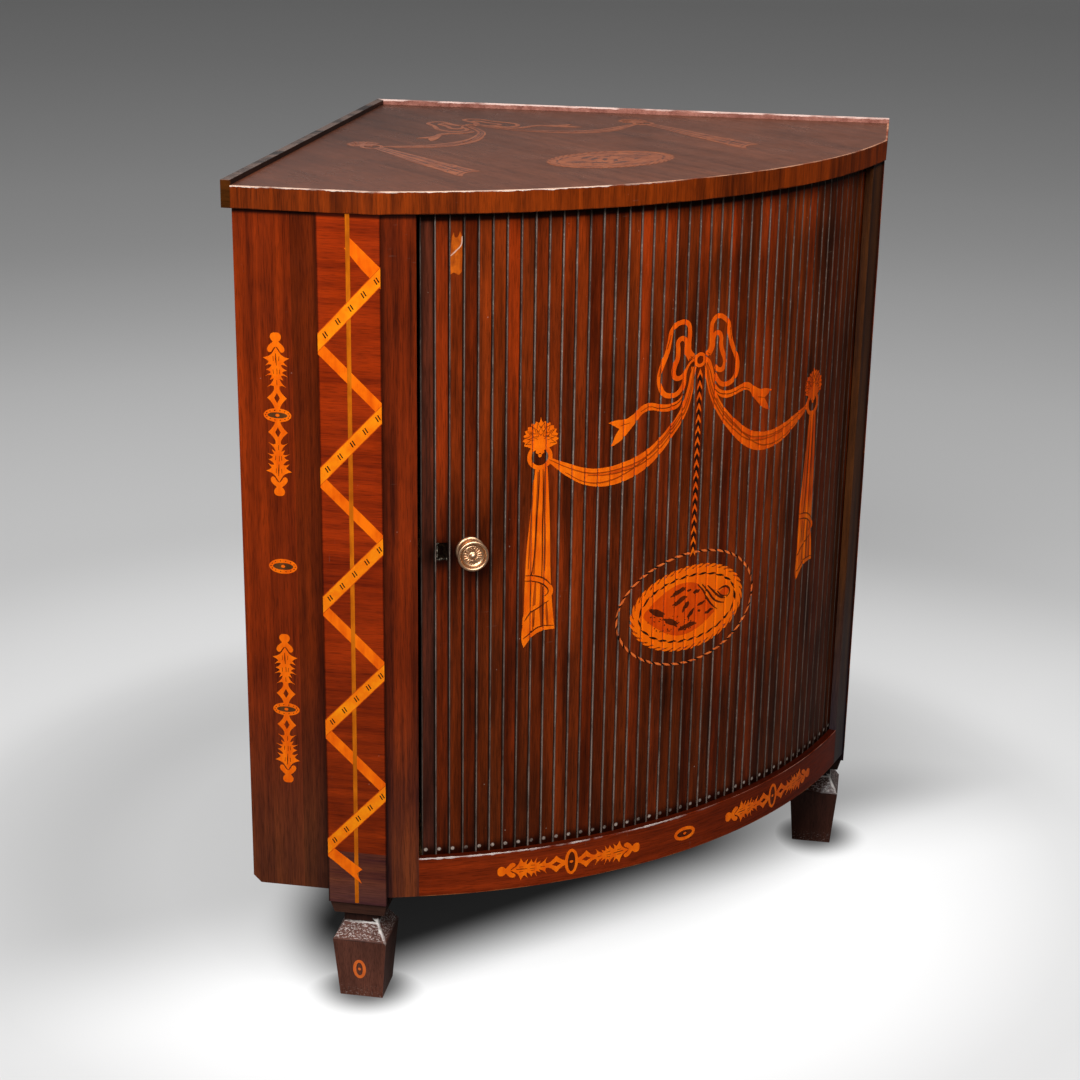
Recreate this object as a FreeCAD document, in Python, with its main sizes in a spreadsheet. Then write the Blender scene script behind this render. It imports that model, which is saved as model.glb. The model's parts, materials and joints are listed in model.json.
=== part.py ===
import FreeCAD, Part
import Sketcher
import math
import os

# A bow-fronted corner cabinet with a sliding tambour shutter.
# Plan view: the two back walls meet in the rear corner. "a" runs from that corner
# along the left wall and "b" along the right wall. Each wall ends in a flat wing,
# a pilaster and a turned stile, and the bow between them is struck from the corner.

doc = FreeCAD.newDocument("corner_cabinet")
sheet = doc.addObject("Spreadsheet::Sheet", "dims")

DRIVING_SIZES = (
    ("wall_length", 590.0),       # rear corner to the face of a wing
    ("back_thick", 12.0),         # back boards
    ("back_boards", 3.0),         # boards in each back wall
    ("wing_thick", 10.0),
    ("wing_width", 80.5),
    ("wing_bottom", 127.5),
    ("wing_clip", 8.0),           # cut-off lower outer corner of a wing
    ("pilaster_width", 61.5),
    ("pilaster_proud", 2.5),      # pilaster face in front of the wing face
    ("pilaster_bottom", 114.5),
    ("bow_rise", 17.0),           # bow radius past the face of a wing
    ("stile_turn", 16.6),         # angle where the bow starts, in degrees
    ("lip", 8.2),                 # stile, and rail in front of the shutter
    ("rail_deep", 23.0),          # rail below the base board
    ("rail_bottom", 124.0),
    ("rail_top", 167.0),
    ("base_top", 166.0),
    ("base_thick", 21.0),
    ("carcass_top", 829.0),
    ("top_thick", 21.0),
    ("top_over", 1.5),            # overhang past pilaster and bow
    ("edge_band", 2.0),           # cross-banding on the front edge of the top
    ("gallery_thick", 9.0),
    ("gallery_rise", 5.0),        # gallery above the top
    ("groove_deep_base", 5.0),
    ("groove_deep_top", 6.0),
    ("foot_center", 111.0),       # foot axis along the wing
    ("foot_setback", 30.2),       # foot axis behind the wing face
    ("rear_foot", 42.0),          # rear foot axis from both walls
    ("leg_block", 50.0),
    ("plinth_width", 60.0),       # under the leg block
    ("plinth_base", 52.6),        # on the neck of the foot
    ("plinth_bottom", 99.5),
    ("neck_width", 36.0),
    ("neck_bottom", 85.5),
    ("shoulder_width", 56.6),
    ("shoulder_height", 68.0),
    ("foot_base", 45.4),
    ("slat_width", 13.25),
    ("slat_gap", 0.42),           # between the backs of two slats
    ("slat_thick", 8.5),
    ("slat_round", 1.9),
    ("lead_gap", 3.6),            # stile to the leading slat when closed
    ("shutter_recess", 9.5),      # slat face behind the bow face
    ("groove_play", 0.8),
    ("end_play", 0.8),            # slat foot above the groove floor
    ("slat_into_top", 4.0),
    ("canvas_thick", 1.0),
    ("canvas_short", 10.0),       # canvas ends inside the grooves' edges
    ("canvas_slit", 0.6),         # left open where the tail bends
    ("shelf_bottom", 476.0),
    ("shelf_thick", 14.0),
    ("shelf_gap", 28.0),          # shelf edge behind the canvas
    ("shelf_nose", 19.0),         # shelf edge past the front of the guard
    ("guard_thick", 8.0),
    ("guard_reach", 238.0),       # guard out from the right wall
    ("guard_slant", 75.0),        # front end of the guard before its back end
    ("guard_play", 5.0),          # guard to the well in the top and the base
    ("well_depth", 155.0),        # guard on the right wall behind the wing
    ("well_start", 2.0),          # end of the groove's arc before the last slat
    ("well_nose", 15.0),          # from there to the well's front wall
    ("well_wall", 6.0),           # well to the right back wall
    ("bearer_thick", 18.0),
    ("bearer_height", 20.0),
    ("bearer_gap", 4.0),          # bearer to the corner batten
    ("bearer_short", 70.0),       # left bearer behind the shelf edge
    ("bearer_clear", 25.0),       # right bearer to the guard
    ("batten", 22.0),
    ("knob_height", 496.0),
    ("knob_radius", 15.5),
    ("knob_reach", 20.0),         # front of the knob before the slat face
    ("stem_radius", 5.0),
    ("shank_radius", 2.4),
    ("shank_length", 6.5),
    ("rose_radius", 14.5),
    ("rose_thick", 3.2),
    ("rose_bead", 2.0),           # rounding of the rose's rim
    ("rose_rim", 2.5),            # flat of the rim
    ("rose_cove", 1.5),
    ("fit_play", 0.3),
    ("lock_width", 10.4),
    ("lock_height", 18.0),
    ("lock_thick", 1.5),
    ("lock_recess", 3.4),
    ("keyhole_width", 2.6),
    ("keyhole_height", 8.0),
)


class Size:
    """A number together with the sheet expression that drives it."""

    def __init__(self, value, text):
        self.value = value
        self.text = text

    def __add__(self, other):
        other = as_size(other)
        return Size(self.value + other.value, "(%s + %s)" % (self.text, other.text))

    def __sub__(self, other):
        other = as_size(other)
        return Size(self.value - other.value, "(%s - %s)" % (self.text, other.text))

    def __mul__(self, other):
        other = as_size(other)
        return Size(self.value * other.value, "(%s * %s)" % (self.text, other.text))

    def __truediv__(self, other):
        other = as_size(other)
        return Size(self.value / other.value, "(%s / %s)" % (self.text, other.text))


def as_size(number):
    if isinstance(number, Size):
        return number
    return Size(float(number), "(%.6f)" % number)


def cosine(angle):
    return Size(math.cos(math.radians(angle.value)), "cos(%s)" % angle.text)


def sine(angle):
    return Size(math.sin(math.radians(angle.value)), "sin(%s)" % angle.text)


dims = {}
for row, (alias, number) in enumerate(DRIVING_SIZES, start=1):
    sheet.set("A%d" % row, alias)
    sheet.set("B%d" % row, "%.4f" % number)
    sheet.setAlias("B%d" % row, alias)
    dims[alias] = Size(number, "dims.%s" % alias)
doc.recompute()

ZERO = as_size(0)
WALL = dims["wall_length"]
BACK = dims["back_thick"]
WING_END = dims["wing_width"]
PILASTER_END = dims["wing_width"] + dims["pilaster_width"]
WING_INNER = WALL - dims["wing_thick"]
PILASTER_FACE = WALL + dims["pilaster_proud"]
BOW = WALL + dims["bow_rise"]
TURN = dims["stile_turn"]
FAR_TURN = as_size(90) - TURN
LIP_INNER = BOW - dims["lip"]
CARCASS_TOP = dims["carcass_top"]
BASE_TOP = dims["base_top"]
BASE_BOTTOM = BASE_TOP - dims["base_thick"]
EDGE = PILASTER_FACE + dims["top_over"]
EDGE_RADIUS = BOW + dims["top_over"]
SLAT_OUTER = BOW - dims["shutter_recess"]
SLAT_INNER = SLAT_OUTER - dims["slat_thick"]
CANVAS_INNER = SLAT_INNER - dims["canvas_thick"]
SLAT_BOTTOM = BASE_TOP - dims["groove_deep_base"] + dims["end_play"]
SLAT_TOP = CARCASS_TOP + dims["slat_into_top"]
SHELF_TOP = dims["shelf_bottom"] + dims["shelf_thick"]
SHELF_RADIUS = CANVAS_INNER - dims["shelf_gap"]
GUARD_BACK = WING_INNER - dims["well_depth"]
GUARD_FRONT_A = BACK + dims["guard_reach"]
GUARD_FRONT_B = GUARD_BACK + dims["guard_slant"]

# The model's origin is midway between the rear of the gallery and the bow of the top.
REAR_REACH = dims["gallery_thick"] * math.sqrt(2.0)
SHIFT = (EDGE_RADIUS - REAR_REACH) / 2
CORNER_TURN = 225.0


def bow_angle(length):
    """The angle, in degrees, of a length along the backs of the slats."""
    return length / SLAT_INNER * math.degrees(1.0)


# The slats fill the opening from stile to stile, and the last ones are out of sight.
HIDDEN_SLATS = 1.5
TAIL_PAIRS = 8
GROUP = 8
PITCH = bow_angle(dims["slat_width"] + dims["slat_gap"])
SLAT_START = TURN + bow_angle(dims["lead_gap"])
SLAT_COUNT = round((FAR_TURN - SLAT_START).value / PITCH.value + HIDDEN_SLATS)
PAIR = PITCH * 2
MAIN_SLATS = SLAT_COUNT - 2 * TAIL_PAIRS
TAIL_START = SLAT_START + PITCH * MAIN_SLATS
TAIL_END = SLAT_START + PITCH * SLAT_COUNT


def bow_point(radius, angle):
    return (radius * cosine(angle), radius * sine(angle))


def tangent_meets(radius, edge):
    """Where the straight that leaves the bow at the stile meets the line a = edge."""
    run = (edge - radius * cosine(TURN)) * cosine(TURN) / sine(TURN)
    return radius * sine(TURN) - run


def swapped(corners):
    """The same outline on the other wall."""
    return [(second, first) for first, second in corners]


def new_body(label, turn=None):
    """A body in the corner frame, or turned about the corner by an angle."""
    body = doc.addObject("PartDesign::Body", label)
    body.Label = label
    angle = as_size(CORNER_TURN) if turn is None else turn + CORNER_TURN
    place = FreeCAD.Rotation(FreeCAD.Vector(0, 0, 1), angle.value)
    body.Placement = FreeCAD.Placement(FreeCAD.Vector(0, SHIFT.value, 0), place)
    body.setExpression("Placement.Base.y", SHIFT.text)
    body.setExpression("Placement.Rotation.Angle", angle.text)
    return body


def origin_plane(body, role):
    for feature in body.Origin.OriginFeatures:
        if feature.Role == role:
            return feature
    raise RuntimeError("no %s in %s" % (role, body.Label))


def place_point(sketch, geometry, end, point):
    """Drives one end point of a sketch edge from the sheet."""
    for kind, axis, size in (("DistanceX", -2, point[0]), ("DistanceY", -1, point[1])):
        if size is ZERO:
            sketch.addConstraint(Sketcher.Constraint("PointOnObject", geometry, end, axis))
            continue
        rule = Sketcher.Constraint(kind, -1, 1, geometry, end, size.value)
        number = sketch.addConstraint(rule)
        sketch.setExpression("Constraints[%d]" % number, size.text)


def outline(body, name, level, corners, arcs=(), role="XY_Plane"):
    """A closed sketch; the edges listed in arcs are struck from the sketch origin."""
    sketch = body.newObject("Sketcher::SketchObject", name)
    sketch.AttachmentSupport = [(origin_plane(body, role), "")]
    sketch.MapMode = "FlatFace"
    sketch.AttachmentOffset = FreeCAD.Placement(
        FreeCAD.Vector(0, 0, level.value), FreeCAD.Rotation())
    sketch.setExpression("AttachmentOffset.Base.z", level.text)
    ends = []
    up = FreeCAD.Vector(0, 0, 1)
    for index, corner in enumerate(corners):
        following = corners[(index + 1) % len(corners)]
        first = FreeCAD.Vector(corner[0].value, corner[1].value, 0)
        second = FreeCAD.Vector(following[0].value, following[1].value, 0)
        if index not in arcs:
            edge = sketch.addGeometry(Part.LineSegment(first, second), False)
            ends.append((edge, 1, 2))
            continue
        circle = Part.Circle(FreeCAD.Vector(), up, first.Length)
        start = math.atan2(first.y, first.x)
        stop = math.atan2(second.y, second.x)
        arc = Part.ArcOfCircle(circle, min(start, stop), max(start, stop))
        edge = sketch.addGeometry(arc, False)
        ends.append((edge, 1, 2) if start < stop else (edge, 2, 1))
    for index, (edge, begin, finish) in enumerate(ends):
        following = ends[(index + 1) % len(ends)]
        joint = Sketcher.Constraint("Coincident", edge, finish, following[0], following[1])
        sketch.addConstraint(joint)
    for (edge, begin, finish), corner in zip(ends, corners):
        place_point(sketch, edge, begin, corner)
    for index in arcs:
        sketch.addConstraint(Sketcher.Constraint("PointOnObject", ends[index][0], 3, -1))
    return sketch


def pad(body, name, sketch, height):
    feature = body.newObject("PartDesign::Pad", name)
    feature.Profile = sketch
    feature.Length = height.value
    feature.setExpression("Length", height.text)
    return feature


def pocket(body, name, sketch, depth, upward=False):
    feature = body.newObject("PartDesign::Pocket", name)
    feature.Profile = sketch
    feature.Length = depth.value
    feature.setExpression("Length", depth.text)
    feature.Reversed = upward
    return feature


def board(label, bottom, top, corners, arcs=(), turn=None):
    """A piece of one section that stands between two heights."""
    body = new_body(label, turn)
    sketch = outline(body, label + "_outline", bottom, corners, arcs)
    pad(body, label + "_pad", sketch, top - bottom)
    return body


def rectangle(low_a, high_a, low_b, high_b):
    return [(low_a, low_b), (high_a, low_b), (high_a, high_b), (low_a, high_b)]


def front_outline(inset, edge, radius):
    """Walls at the back, wings and turned stiles at the sides, bow in front."""
    meet = tangent_meets(radius, edge)
    return [(inset, inset), (edge, inset), (edge, meet), bow_point(radius, TURN),
            bow_point(radius, FAR_TURN), (meet, edge), (inset, edge)]


def sector(inner, outer, start, stop):
    return [bow_point(outer, start), bow_point(outer, stop),
            bow_point(inner, stop), bow_point(inner, start)]


def groove_outline(spread):
    """The shutter's groove, and the well behind the right stile where its tail turns."""
    outer = LIP_INNER + spread
    inner = CANVAS_INNER - dims["groove_play"] - dims["fit_play"]
    start = TURN + bow_angle(dims["groove_play"])
    stop = TAIL_END - bow_angle(dims["well_start"])
    well_face = WING_INNER - dims["fit_play"] + spread
    well_wall = BACK + dims["well_wall"]
    return [bow_point(outer, start), bow_point(outer, stop),
            (outer * cosine(stop) - dims["well_nose"], well_face), (well_wall, well_face),
            (well_wall, GUARD_BACK + dims["guard_play"]),
            (GUARD_FRONT_A, GUARD_FRONT_B + dims["guard_play"]),
            bow_point(inner, TAIL_START - bow_angle(dims["guard_play"])), bow_point(inner, start)]


def make_top():
    inner_edge = EDGE - dims["edge_band"]
    inner_radius = EDGE_RADIUS - dims["edge_band"]
    top = CARCASS_TOP + dims["top_thick"]
    corners = front_outline(ZERO, inner_edge, inner_radius)
    body = board("top_board", CARCASS_TOP, top, corners, arcs=(3,))
    groove = outline(body, "top_groove", CARCASS_TOP, groove_outline(ZERO), arcs=(0, 6))
    pocket(body, "top_groove_cut", groove, dims["groove_deep_top"], upward=True)
    outer = front_outline(ZERO, EDGE, EDGE_RADIUS)[1:]
    inner = front_outline(ZERO, inner_edge, inner_radius)[1:]
    board("top_edge_band", CARCASS_TOP, top, outer + inner[::-1], arcs=(2, 8))


def make_gallery():
    thick = dims["gallery_thick"]
    behind = Size(-thick.value, "(-%s)" % thick.text)
    corners = [(behind, behind), (EDGE, behind), (EDGE, ZERO), (ZERO, ZERO)]
    top = CARCASS_TOP + dims["top_thick"] + dims["gallery_rise"]
    board("gallery_left", CARCASS_TOP, top, corners)
    board("gallery_right", CARCASS_TOP, top, swapped(corners))


def make_back_walls():
    count = dims["back_boards"]
    for side, start in (("left", BACK), ("right", ZERO)):
        width = (WING_INNER - start) / count
        for number in range(int(count.value)):
            low = start if number == 0 else start + width * number
            corners = rectangle(low, start + width * (number + 1), ZERO, BACK)
            if side == "right":
                corners = swapped(corners)
            label = "%s_back_board_%d" % (side, number + 1)
            board(label, dims["wing_bottom"], CARCASS_TOP, corners)


def make_wing(label, swap):
    corners = rectangle(WING_INNER, WALL, ZERO, WING_END)
    body = board(label, dims["wing_bottom"], CARCASS_TOP, swapped(corners) if swap else corners)
    doc.recompute()
    outer_axis = 0 if swap else 1
    solid = body.Tip.Shape
    names = []
    for number, edge in enumerate(solid.Edges, start=1):
        if all(abs(v.Point[outer_axis]) < 0.01 and abs(v.Point[2] - dims["wing_bottom"].value) < 0.01
               for v in edge.Vertexes):
            names.append("Edge%d" % number)
    clip = body.newObject("PartDesign::Chamfer", label + "_clip")
    clip.Base = (body.Group[-2], names)
    clip.Size = dims["wing_clip"].value
    clip.setExpression("Size", dims["wing_clip"].text)


def make_front_frame():
    make_wing("left_wing", False)
    make_wing("right_wing", True)
    corners = rectangle(WING_INNER, PILASTER_FACE, WING_END, PILASTER_END)
    board("left_pilaster", dims["pilaster_bottom"], CARCASS_TOP, corners)
    board("right_pilaster", dims["pilaster_bottom"], CARCASS_TOP, swapped(corners))
    slope = sine(TURN) / cosine(TURN)
    face = bow_point(BOW, TURN)
    rear = bow_point(LIP_INNER, TURN)
    face_side = (face[0] + (face[1] - PILASTER_END) * slope, PILASTER_END)
    rear_side = (rear[0] + (rear[1] - PILASTER_END) * slope, PILASTER_END)
    corners = [face, face_side, rear_side, rear]
    board("left_stile", dims["rail_bottom"], CARCASS_TOP, corners)
    board("right_stile", dims["rail_bottom"], CARCASS_TOP, swapped(corners))
    deep = sector(BOW - dims["rail_deep"], BOW, TURN, FAR_TURN)
    body = board("bottom_rail", dims["rail_bottom"], BASE_BOTTOM, deep, arcs=(0, 2))
    lip = sector(LIP_INNER, BOW, TURN, FAR_TURN)
    lip_sketch = outline(body, "rail_lip", BASE_BOTTOM, lip, arcs=(0, 2))
    pad(body, "rail_lip_pad", lip_sketch, dims["rail_top"] - BASE_BOTTOM)


def make_base():
    corners = front_outline(BACK, WING_INNER, LIP_INNER)
    body = board("base_board", BASE_BOTTOM, BASE_TOP, corners, arcs=(3,))
    groove = outline(body, "base_groove", BASE_TOP, groove_outline(as_size(1)), arcs=(0, 6))
    pocket(body, "base_groove_cut", groove, dims["groove_deep_base"])


def square(center, width):
    half = width / 2
    return rectangle(center[0] - half, center[0] + half, center[1] - half, center[1] + half)


def taper(body, name, center, bottom, bottom_width, top, top_width):
    """A four-sided taper that stands upright round a foot's axis."""
    wedge = body.newObject("PartDesign::AdditiveWedge", name)
    wedge.AttachmentSupport = [(origin_plane(body, "XZ_Plane"), "")]
    wedge.MapMode = "FlatFace"
    back = as_size(0) - center[1]
    set_numbers(wedge, (
        ("Xmin", center[0] - bottom_width / 2), ("Xmax", center[0] + bottom_width / 2),
        ("Zmin", back - bottom_width / 2), ("Zmax", back + bottom_width / 2),
        ("X2min", center[0] - top_width / 2), ("X2max", center[0] + top_width / 2),
        ("Z2min", back - top_width / 2), ("Z2max", back + top_width / 2),
        ("Ymin", bottom), ("Ymax", top)))


def make_foot(label, center):
    """A square neck over a spade foot: chamfered shoulder, then a taper to the floor."""
    body = new_body(label)
    shoulder = dims["shoulder_height"]
    taper(body, label + "_taper", center, ZERO, dims["foot_base"], shoulder, dims["shoulder_width"])
    taper(body, label + "_slope", center, shoulder, dims["shoulder_width"],
          dims["neck_bottom"], dims["neck_width"])
    neck = outline(body, label + "_neck", dims["neck_bottom"], square(center, dims["neck_width"]))
    pad(body, label + "_neck_pad", neck, dims["plinth_bottom"] - dims["neck_bottom"])


def make_legs():
    front = (WALL - dims["foot_setback"], dims["foot_center"])
    rear = (dims["rear_foot"], dims["rear_foot"])
    inner = WING_INNER - dims["leg_block"]
    half = dims["leg_block"] / 2
    block = rectangle(inner, WING_INNER, front[1] - half, front[1] + half)
    places = (("left", front, block), ("right", (front[1], front[0]), swapped(block)),
              ("rear", rear, square(rear, dims["leg_block"])))
    for side, center, corners in places:
        board(side + "_leg_block", dims["pilaster_bottom"], BASE_BOTTOM, corners)
        plinth = new_body(side + "_plinth")
        taper(plinth, side + "_plinth_taper", center, dims["plinth_bottom"], dims["plinth_base"],
              dims["pilaster_bottom"], dims["plinth_width"])
        make_foot(side + "_foot", center)


def across(radius, first):
    """The other coordinate of the point of an arc round the corner."""
    return Size(math.sqrt(radius.value ** 2 - first.value ** 2),
                "sqrt(%s ^ 2 - %s ^ 2)" % (radius.text, first.text))


def guard_inner(offset):
    """Ends of a line parallel to the guard's outer face, the offset inside it."""
    run_a = dims["guard_reach"]
    run_b = dims["guard_slant"]
    slant = math.hypot(run_a.value, run_b.value)
    length = Size(slant, "sqrt(%s ^ 2 + %s ^ 2)" % (run_a.text, run_b.text))
    front = (GUARD_FRONT_A + offset * run_b / length, GUARD_FRONT_B - offset * run_a / length)
    back = (BACK, GUARD_BACK - offset * length / run_a)
    return front, back


def make_inside():
    outer_front = (GUARD_FRONT_A, GUARD_FRONT_B)
    outer_back = (BACK, GUARD_BACK)
    front, back = guard_inner(dims["guard_thick"])
    corners = [outer_back, outer_front, front, back]
    board("tambour_guard", BASE_TOP, CARCASS_TOP, corners)
    front, back = guard_inner(dims["guard_thick"] + dims["fit_play"])
    run = across(SHELF_RADIUS, BACK)
    nose = front[0] + dims["shelf_nose"]
    corners = [(BACK, BACK), (run, BACK), (nose, across(SHELF_RADIUS, nose)), front, back]
    board("shelf", dims["shelf_bottom"], SHELF_TOP, corners, arcs=(1,))
    low = BACK + dims["batten"] + dims["bearer_gap"]
    left = rectangle(low, run - dims["bearer_short"], BACK, BACK + dims["bearer_thick"])
    right = rectangle(low, GUARD_BACK - dims["bearer_clear"], BACK, BACK + dims["bearer_thick"])
    under = dims["shelf_bottom"] - dims["bearer_height"]
    board("left_shelf_bearer", under, dims["shelf_bottom"], left)
    board("right_shelf_bearer", under, dims["shelf_bottom"], swapped(right))
    corners = rectangle(BACK, BACK + dims["batten"], BACK, BACK + dims["batten"])
    board("lower_corner_batten", BASE_TOP, dims["shelf_bottom"], corners)
    board("upper_corner_batten", SHELF_TOP, CARCASS_TOP, corners)


def slat_angle(number):
    return SLAT_START + PITCH * (number - 0.5)


def make_slats(label, first, count):
    """One slat with its two outer arrises rounded, repeated about the corner."""
    half = dims["slat_width"] / 2
    low = Size(-half.value, "(-%s)" % half.text)
    body = board(label, SLAT_BOTTOM, SLAT_TOP, rectangle(SLAT_INNER, SLAT_OUTER, low, half),
                 turn=slat_angle(first))
    doc.recompute()
    names = []
    for number, edge in enumerate(body.Tip.Shape.Edges, start=1):
        if all(abs(v.Point[0] - SLAT_OUTER.value) < 0.01 for v in edge.Vertexes):
            if abs(edge.Vertexes[0].Point[2] - edge.Vertexes[-1].Point[2]) > 1.0:
                names.append("Edge%d" % number)
    rounded = body.newObject("PartDesign::Fillet", label + "_arris")
    rounded.Base = (body.Group[-2], names)
    rounded.Radius = dims["slat_round"].value
    rounded.setExpression("Radius", dims["slat_round"].text)
    if count > 1:
        doc.recompute()
        body.AllowCompound = True
        pattern = body.newObject("PartDesign::PolarPattern", label + "_row")
        pattern.TransformMode = "Whole shape"
        pattern.Axis = (origin_plane(body, "Z_Axis"), [""])
        body.Tip = pattern
        pattern.Occurrences = count
        reach = PITCH * (count - 1)
        pattern.Angle = reach.value
        pattern.setExpression("Angle", reach.text)
    return body


def make_canvas(label, start, stop):
    low = SLAT_BOTTOM + dims["canvas_short"]
    high = SLAT_TOP - dims["canvas_short"]
    return board(label, low, high, sector(CANVAS_INNER, SLAT_INNER, start, stop), arcs=(0, 2))


def upright_rectangle(body, name, radius, width, height):
    """A rectangle on a plane square to the radius, centred at the knob's height."""
    half = width / 2
    low = Size(-half.value, "(-%s)" % half.text)
    rise = height / 2
    corners = rectangle(low, half, dims["knob_height"] - rise, dims["knob_height"] + rise)
    return outline(body, name, radius, corners, role="YZ_Plane")


def make_shutter():
    make_slats("lead_slat", 1, 1)
    lock_slat = make_slats("lock_slat", 2, 1)
    mouth = upright_rectangle(lock_slat, "lock_mouth", SLAT_OUTER,
                              dims["lock_width"] + dims["fit_play"] * 2,
                              dims["lock_height"] + dims["fit_play"] * 2)
    pocket(lock_slat, "lock_recess_cut", mouth, dims["lock_recess"])
    make_slats("third_slat", 3, 1)
    knob_slat = make_slats("knob_slat", 4, 1)
    hole = knob_slat.newObject("PartDesign::SubtractiveCylinder", "shank_hole")
    hole.AttachmentSupport = [(origin_plane(knob_slat, "YZ_Plane"), "")]
    hole.MapMode = "FlatFace"
    depth = dims["shank_length"] + dims["fit_play"]
    set_numbers(hole, (("Radius", dims["shank_radius"] + dims["fit_play"] / 2),
                       ("Height", depth),
                       ("AttachmentOffset.Base.y", dims["knob_height"]),
                       ("AttachmentOffset.Base.z", SLAT_OUTER - depth)))
    make_slats("left_slats", 5, GROUP)
    make_slats("middle_slats", 5 + GROUP, GROUP)
    make_slats("right_slats", 5 + 2 * GROUP, MAIN_SLATS - 4 - 2 * GROUP)
    slit = bow_angle(dims["canvas_slit"] / 2)
    make_canvas("canvas_backing", SLAT_START + slit * 4, TAIL_START - slit)
    for pair in range(TAIL_PAIRS):
        start = TAIL_START + PAIR * pair
        make_slats("tail_slats_%d" % (pair + 1), MAIN_SLATS + 2 * pair + 1, 2)
        make_canvas("tail_canvas_%d" % (pair + 1), start + slit, start + PAIR - slit)


def set_numbers(feature, pairs):
    for path, size in pairs:
        feature.setExpression(path, size.text)


def turned(label, number, profile):
    """A turned piece whose axis stands square on a slat's face at the knob's height."""
    body = new_body(label, slat_angle(number))
    sketch = outline(body, label + "_profile", ZERO, profile)
    body.setExpression("Placement.Base.z", dims["knob_height"].text)
    spin = body.newObject("PartDesign::Revolution", label + "_turning")
    spin.Profile = sketch
    spin.ReferenceAxis = (sketch, ["H_Axis"])
    spin.Angle = 360.0
    return body


def make_hardware():
    seat = SLAT_OUTER
    rose_in = dims["stem_radius"] + dims["fit_play"]
    rose_out = dims["rose_radius"]
    rose_top = seat + dims["rose_thick"]
    rim = rose_out - dims["rose_bead"] - dims["rose_rim"]
    floor = seat + dims["rose_thick"] * 0.6
    turned("knob_rose", 4, [
        (seat, rose_in), (seat, rose_out), (seat + dims["rose_thick"] * 0.45, rose_out),
        (rose_top, rose_out - dims["rose_bead"]), (rose_top, rim), (floor, rim - dims["rose_cove"]),
        (floor, rose_in)])
    reach = dims["knob_reach"]
    wide = dims["knob_radius"]
    turned("knob", 4, [
        (seat - dims["shank_length"], ZERO), (seat - dims["shank_length"], dims["shank_radius"]),
        (seat, dims["shank_radius"]), (seat, dims["stem_radius"]),
        (seat + reach * 0.36, dims["stem_radius"]), (seat + reach * 0.48, wide * 0.72),
        (seat + reach * 0.60, wide), (seat + reach * 0.70, wide), (seat + reach * 0.79, wide * 0.90),
        (seat + reach * 0.73, wide * 0.78), (seat + reach * 0.82, wide * 0.66),
        (seat + reach * 0.76, wide * 0.52), (seat + reach * 0.88, wide * 0.36),
        (seat + reach * 0.97, wide * 0.20), (seat + reach, ZERO)])
    body = new_body("lock_plate", slat_angle(2))
    inner = SLAT_OUTER - dims["lock_recess"]
    plate = upright_rectangle(body, "lock_plate_face", inner, dims["lock_width"], dims["lock_height"])
    pad(body, "lock_plate_pad", plate, dims["lock_thick"])
    slot = upright_rectangle(body, "keyhole", inner + dims["lock_thick"],
                             dims["keyhole_width"], dims["keyhole_height"])
    pocket(body, "keyhole_cut", slot, dims["lock_thick"])


make_top()
make_gallery()
make_back_walls()
make_front_frame()
make_base()
make_legs()
make_inside()
make_shutter()
make_hardware()
doc.recompute()

os.makedirs("parts", exist_ok=True)
bodies = [thing for thing in doc.Objects if thing.TypeId == "PartDesign::Body"]
for thing in doc.Objects:
    if "Invalid" in thing.State or "Error" in thing.State:
        raise RuntimeError("%s did not compute: %s" % (thing.Label, thing.State))
for body in bodies:
    if body.Shape.isNull() or not body.Shape.isValid() or not body.Shape.Solids:
        raise RuntimeError("%s has no valid solid" % body.Label)
    body.Shape.exportStep("parts/%s.step" % body.Label)
    print("%-24s solids %2d volume %10.1f" % (body.Label, len(body.Shape.Solids), body.Shape.Volume))
print("nodes", len(bodies))
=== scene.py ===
# %% [markdown]
# # A bow-fronted corner cabinet with a tambour shutter
# The cabinet stands in the corner of a room. Its two back walls meet at a right angle, and its front is an
# arc struck from that corner, closed by a shutter of upright slats glued to canvas. The CAD frame already
# has every board, slat and foot at its real size. This lesson dresses it: timber, polish, marquetry and
# brass.

# %% Load the frame
import json
import math
import random
from functools import partial
import bpy
from mathutils import Matrix, Vector


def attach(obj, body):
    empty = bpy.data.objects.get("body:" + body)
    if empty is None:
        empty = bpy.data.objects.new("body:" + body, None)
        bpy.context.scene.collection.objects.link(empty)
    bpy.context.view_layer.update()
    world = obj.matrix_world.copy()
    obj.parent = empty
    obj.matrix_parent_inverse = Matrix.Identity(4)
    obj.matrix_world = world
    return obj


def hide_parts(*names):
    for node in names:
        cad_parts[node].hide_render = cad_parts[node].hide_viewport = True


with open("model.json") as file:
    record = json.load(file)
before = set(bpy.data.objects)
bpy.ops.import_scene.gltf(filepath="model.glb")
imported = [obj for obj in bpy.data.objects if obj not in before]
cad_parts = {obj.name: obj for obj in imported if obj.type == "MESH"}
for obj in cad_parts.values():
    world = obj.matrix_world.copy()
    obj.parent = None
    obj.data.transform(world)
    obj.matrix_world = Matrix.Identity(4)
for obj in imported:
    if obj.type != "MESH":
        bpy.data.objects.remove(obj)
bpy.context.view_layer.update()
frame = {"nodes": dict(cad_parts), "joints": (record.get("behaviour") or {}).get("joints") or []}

nodes = frame["nodes"]

# %% [markdown]
# ## Places on the cabinet
# Marquetry is drawn flat, in millimetres, and then laid on the face that carries it. For that we need to
# know where a face is. The axis of the bow is the axis that the shutter turns about, so it is read from
# the joint. `a` and `b` run from the rear corner along the left and the right wall.

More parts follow.
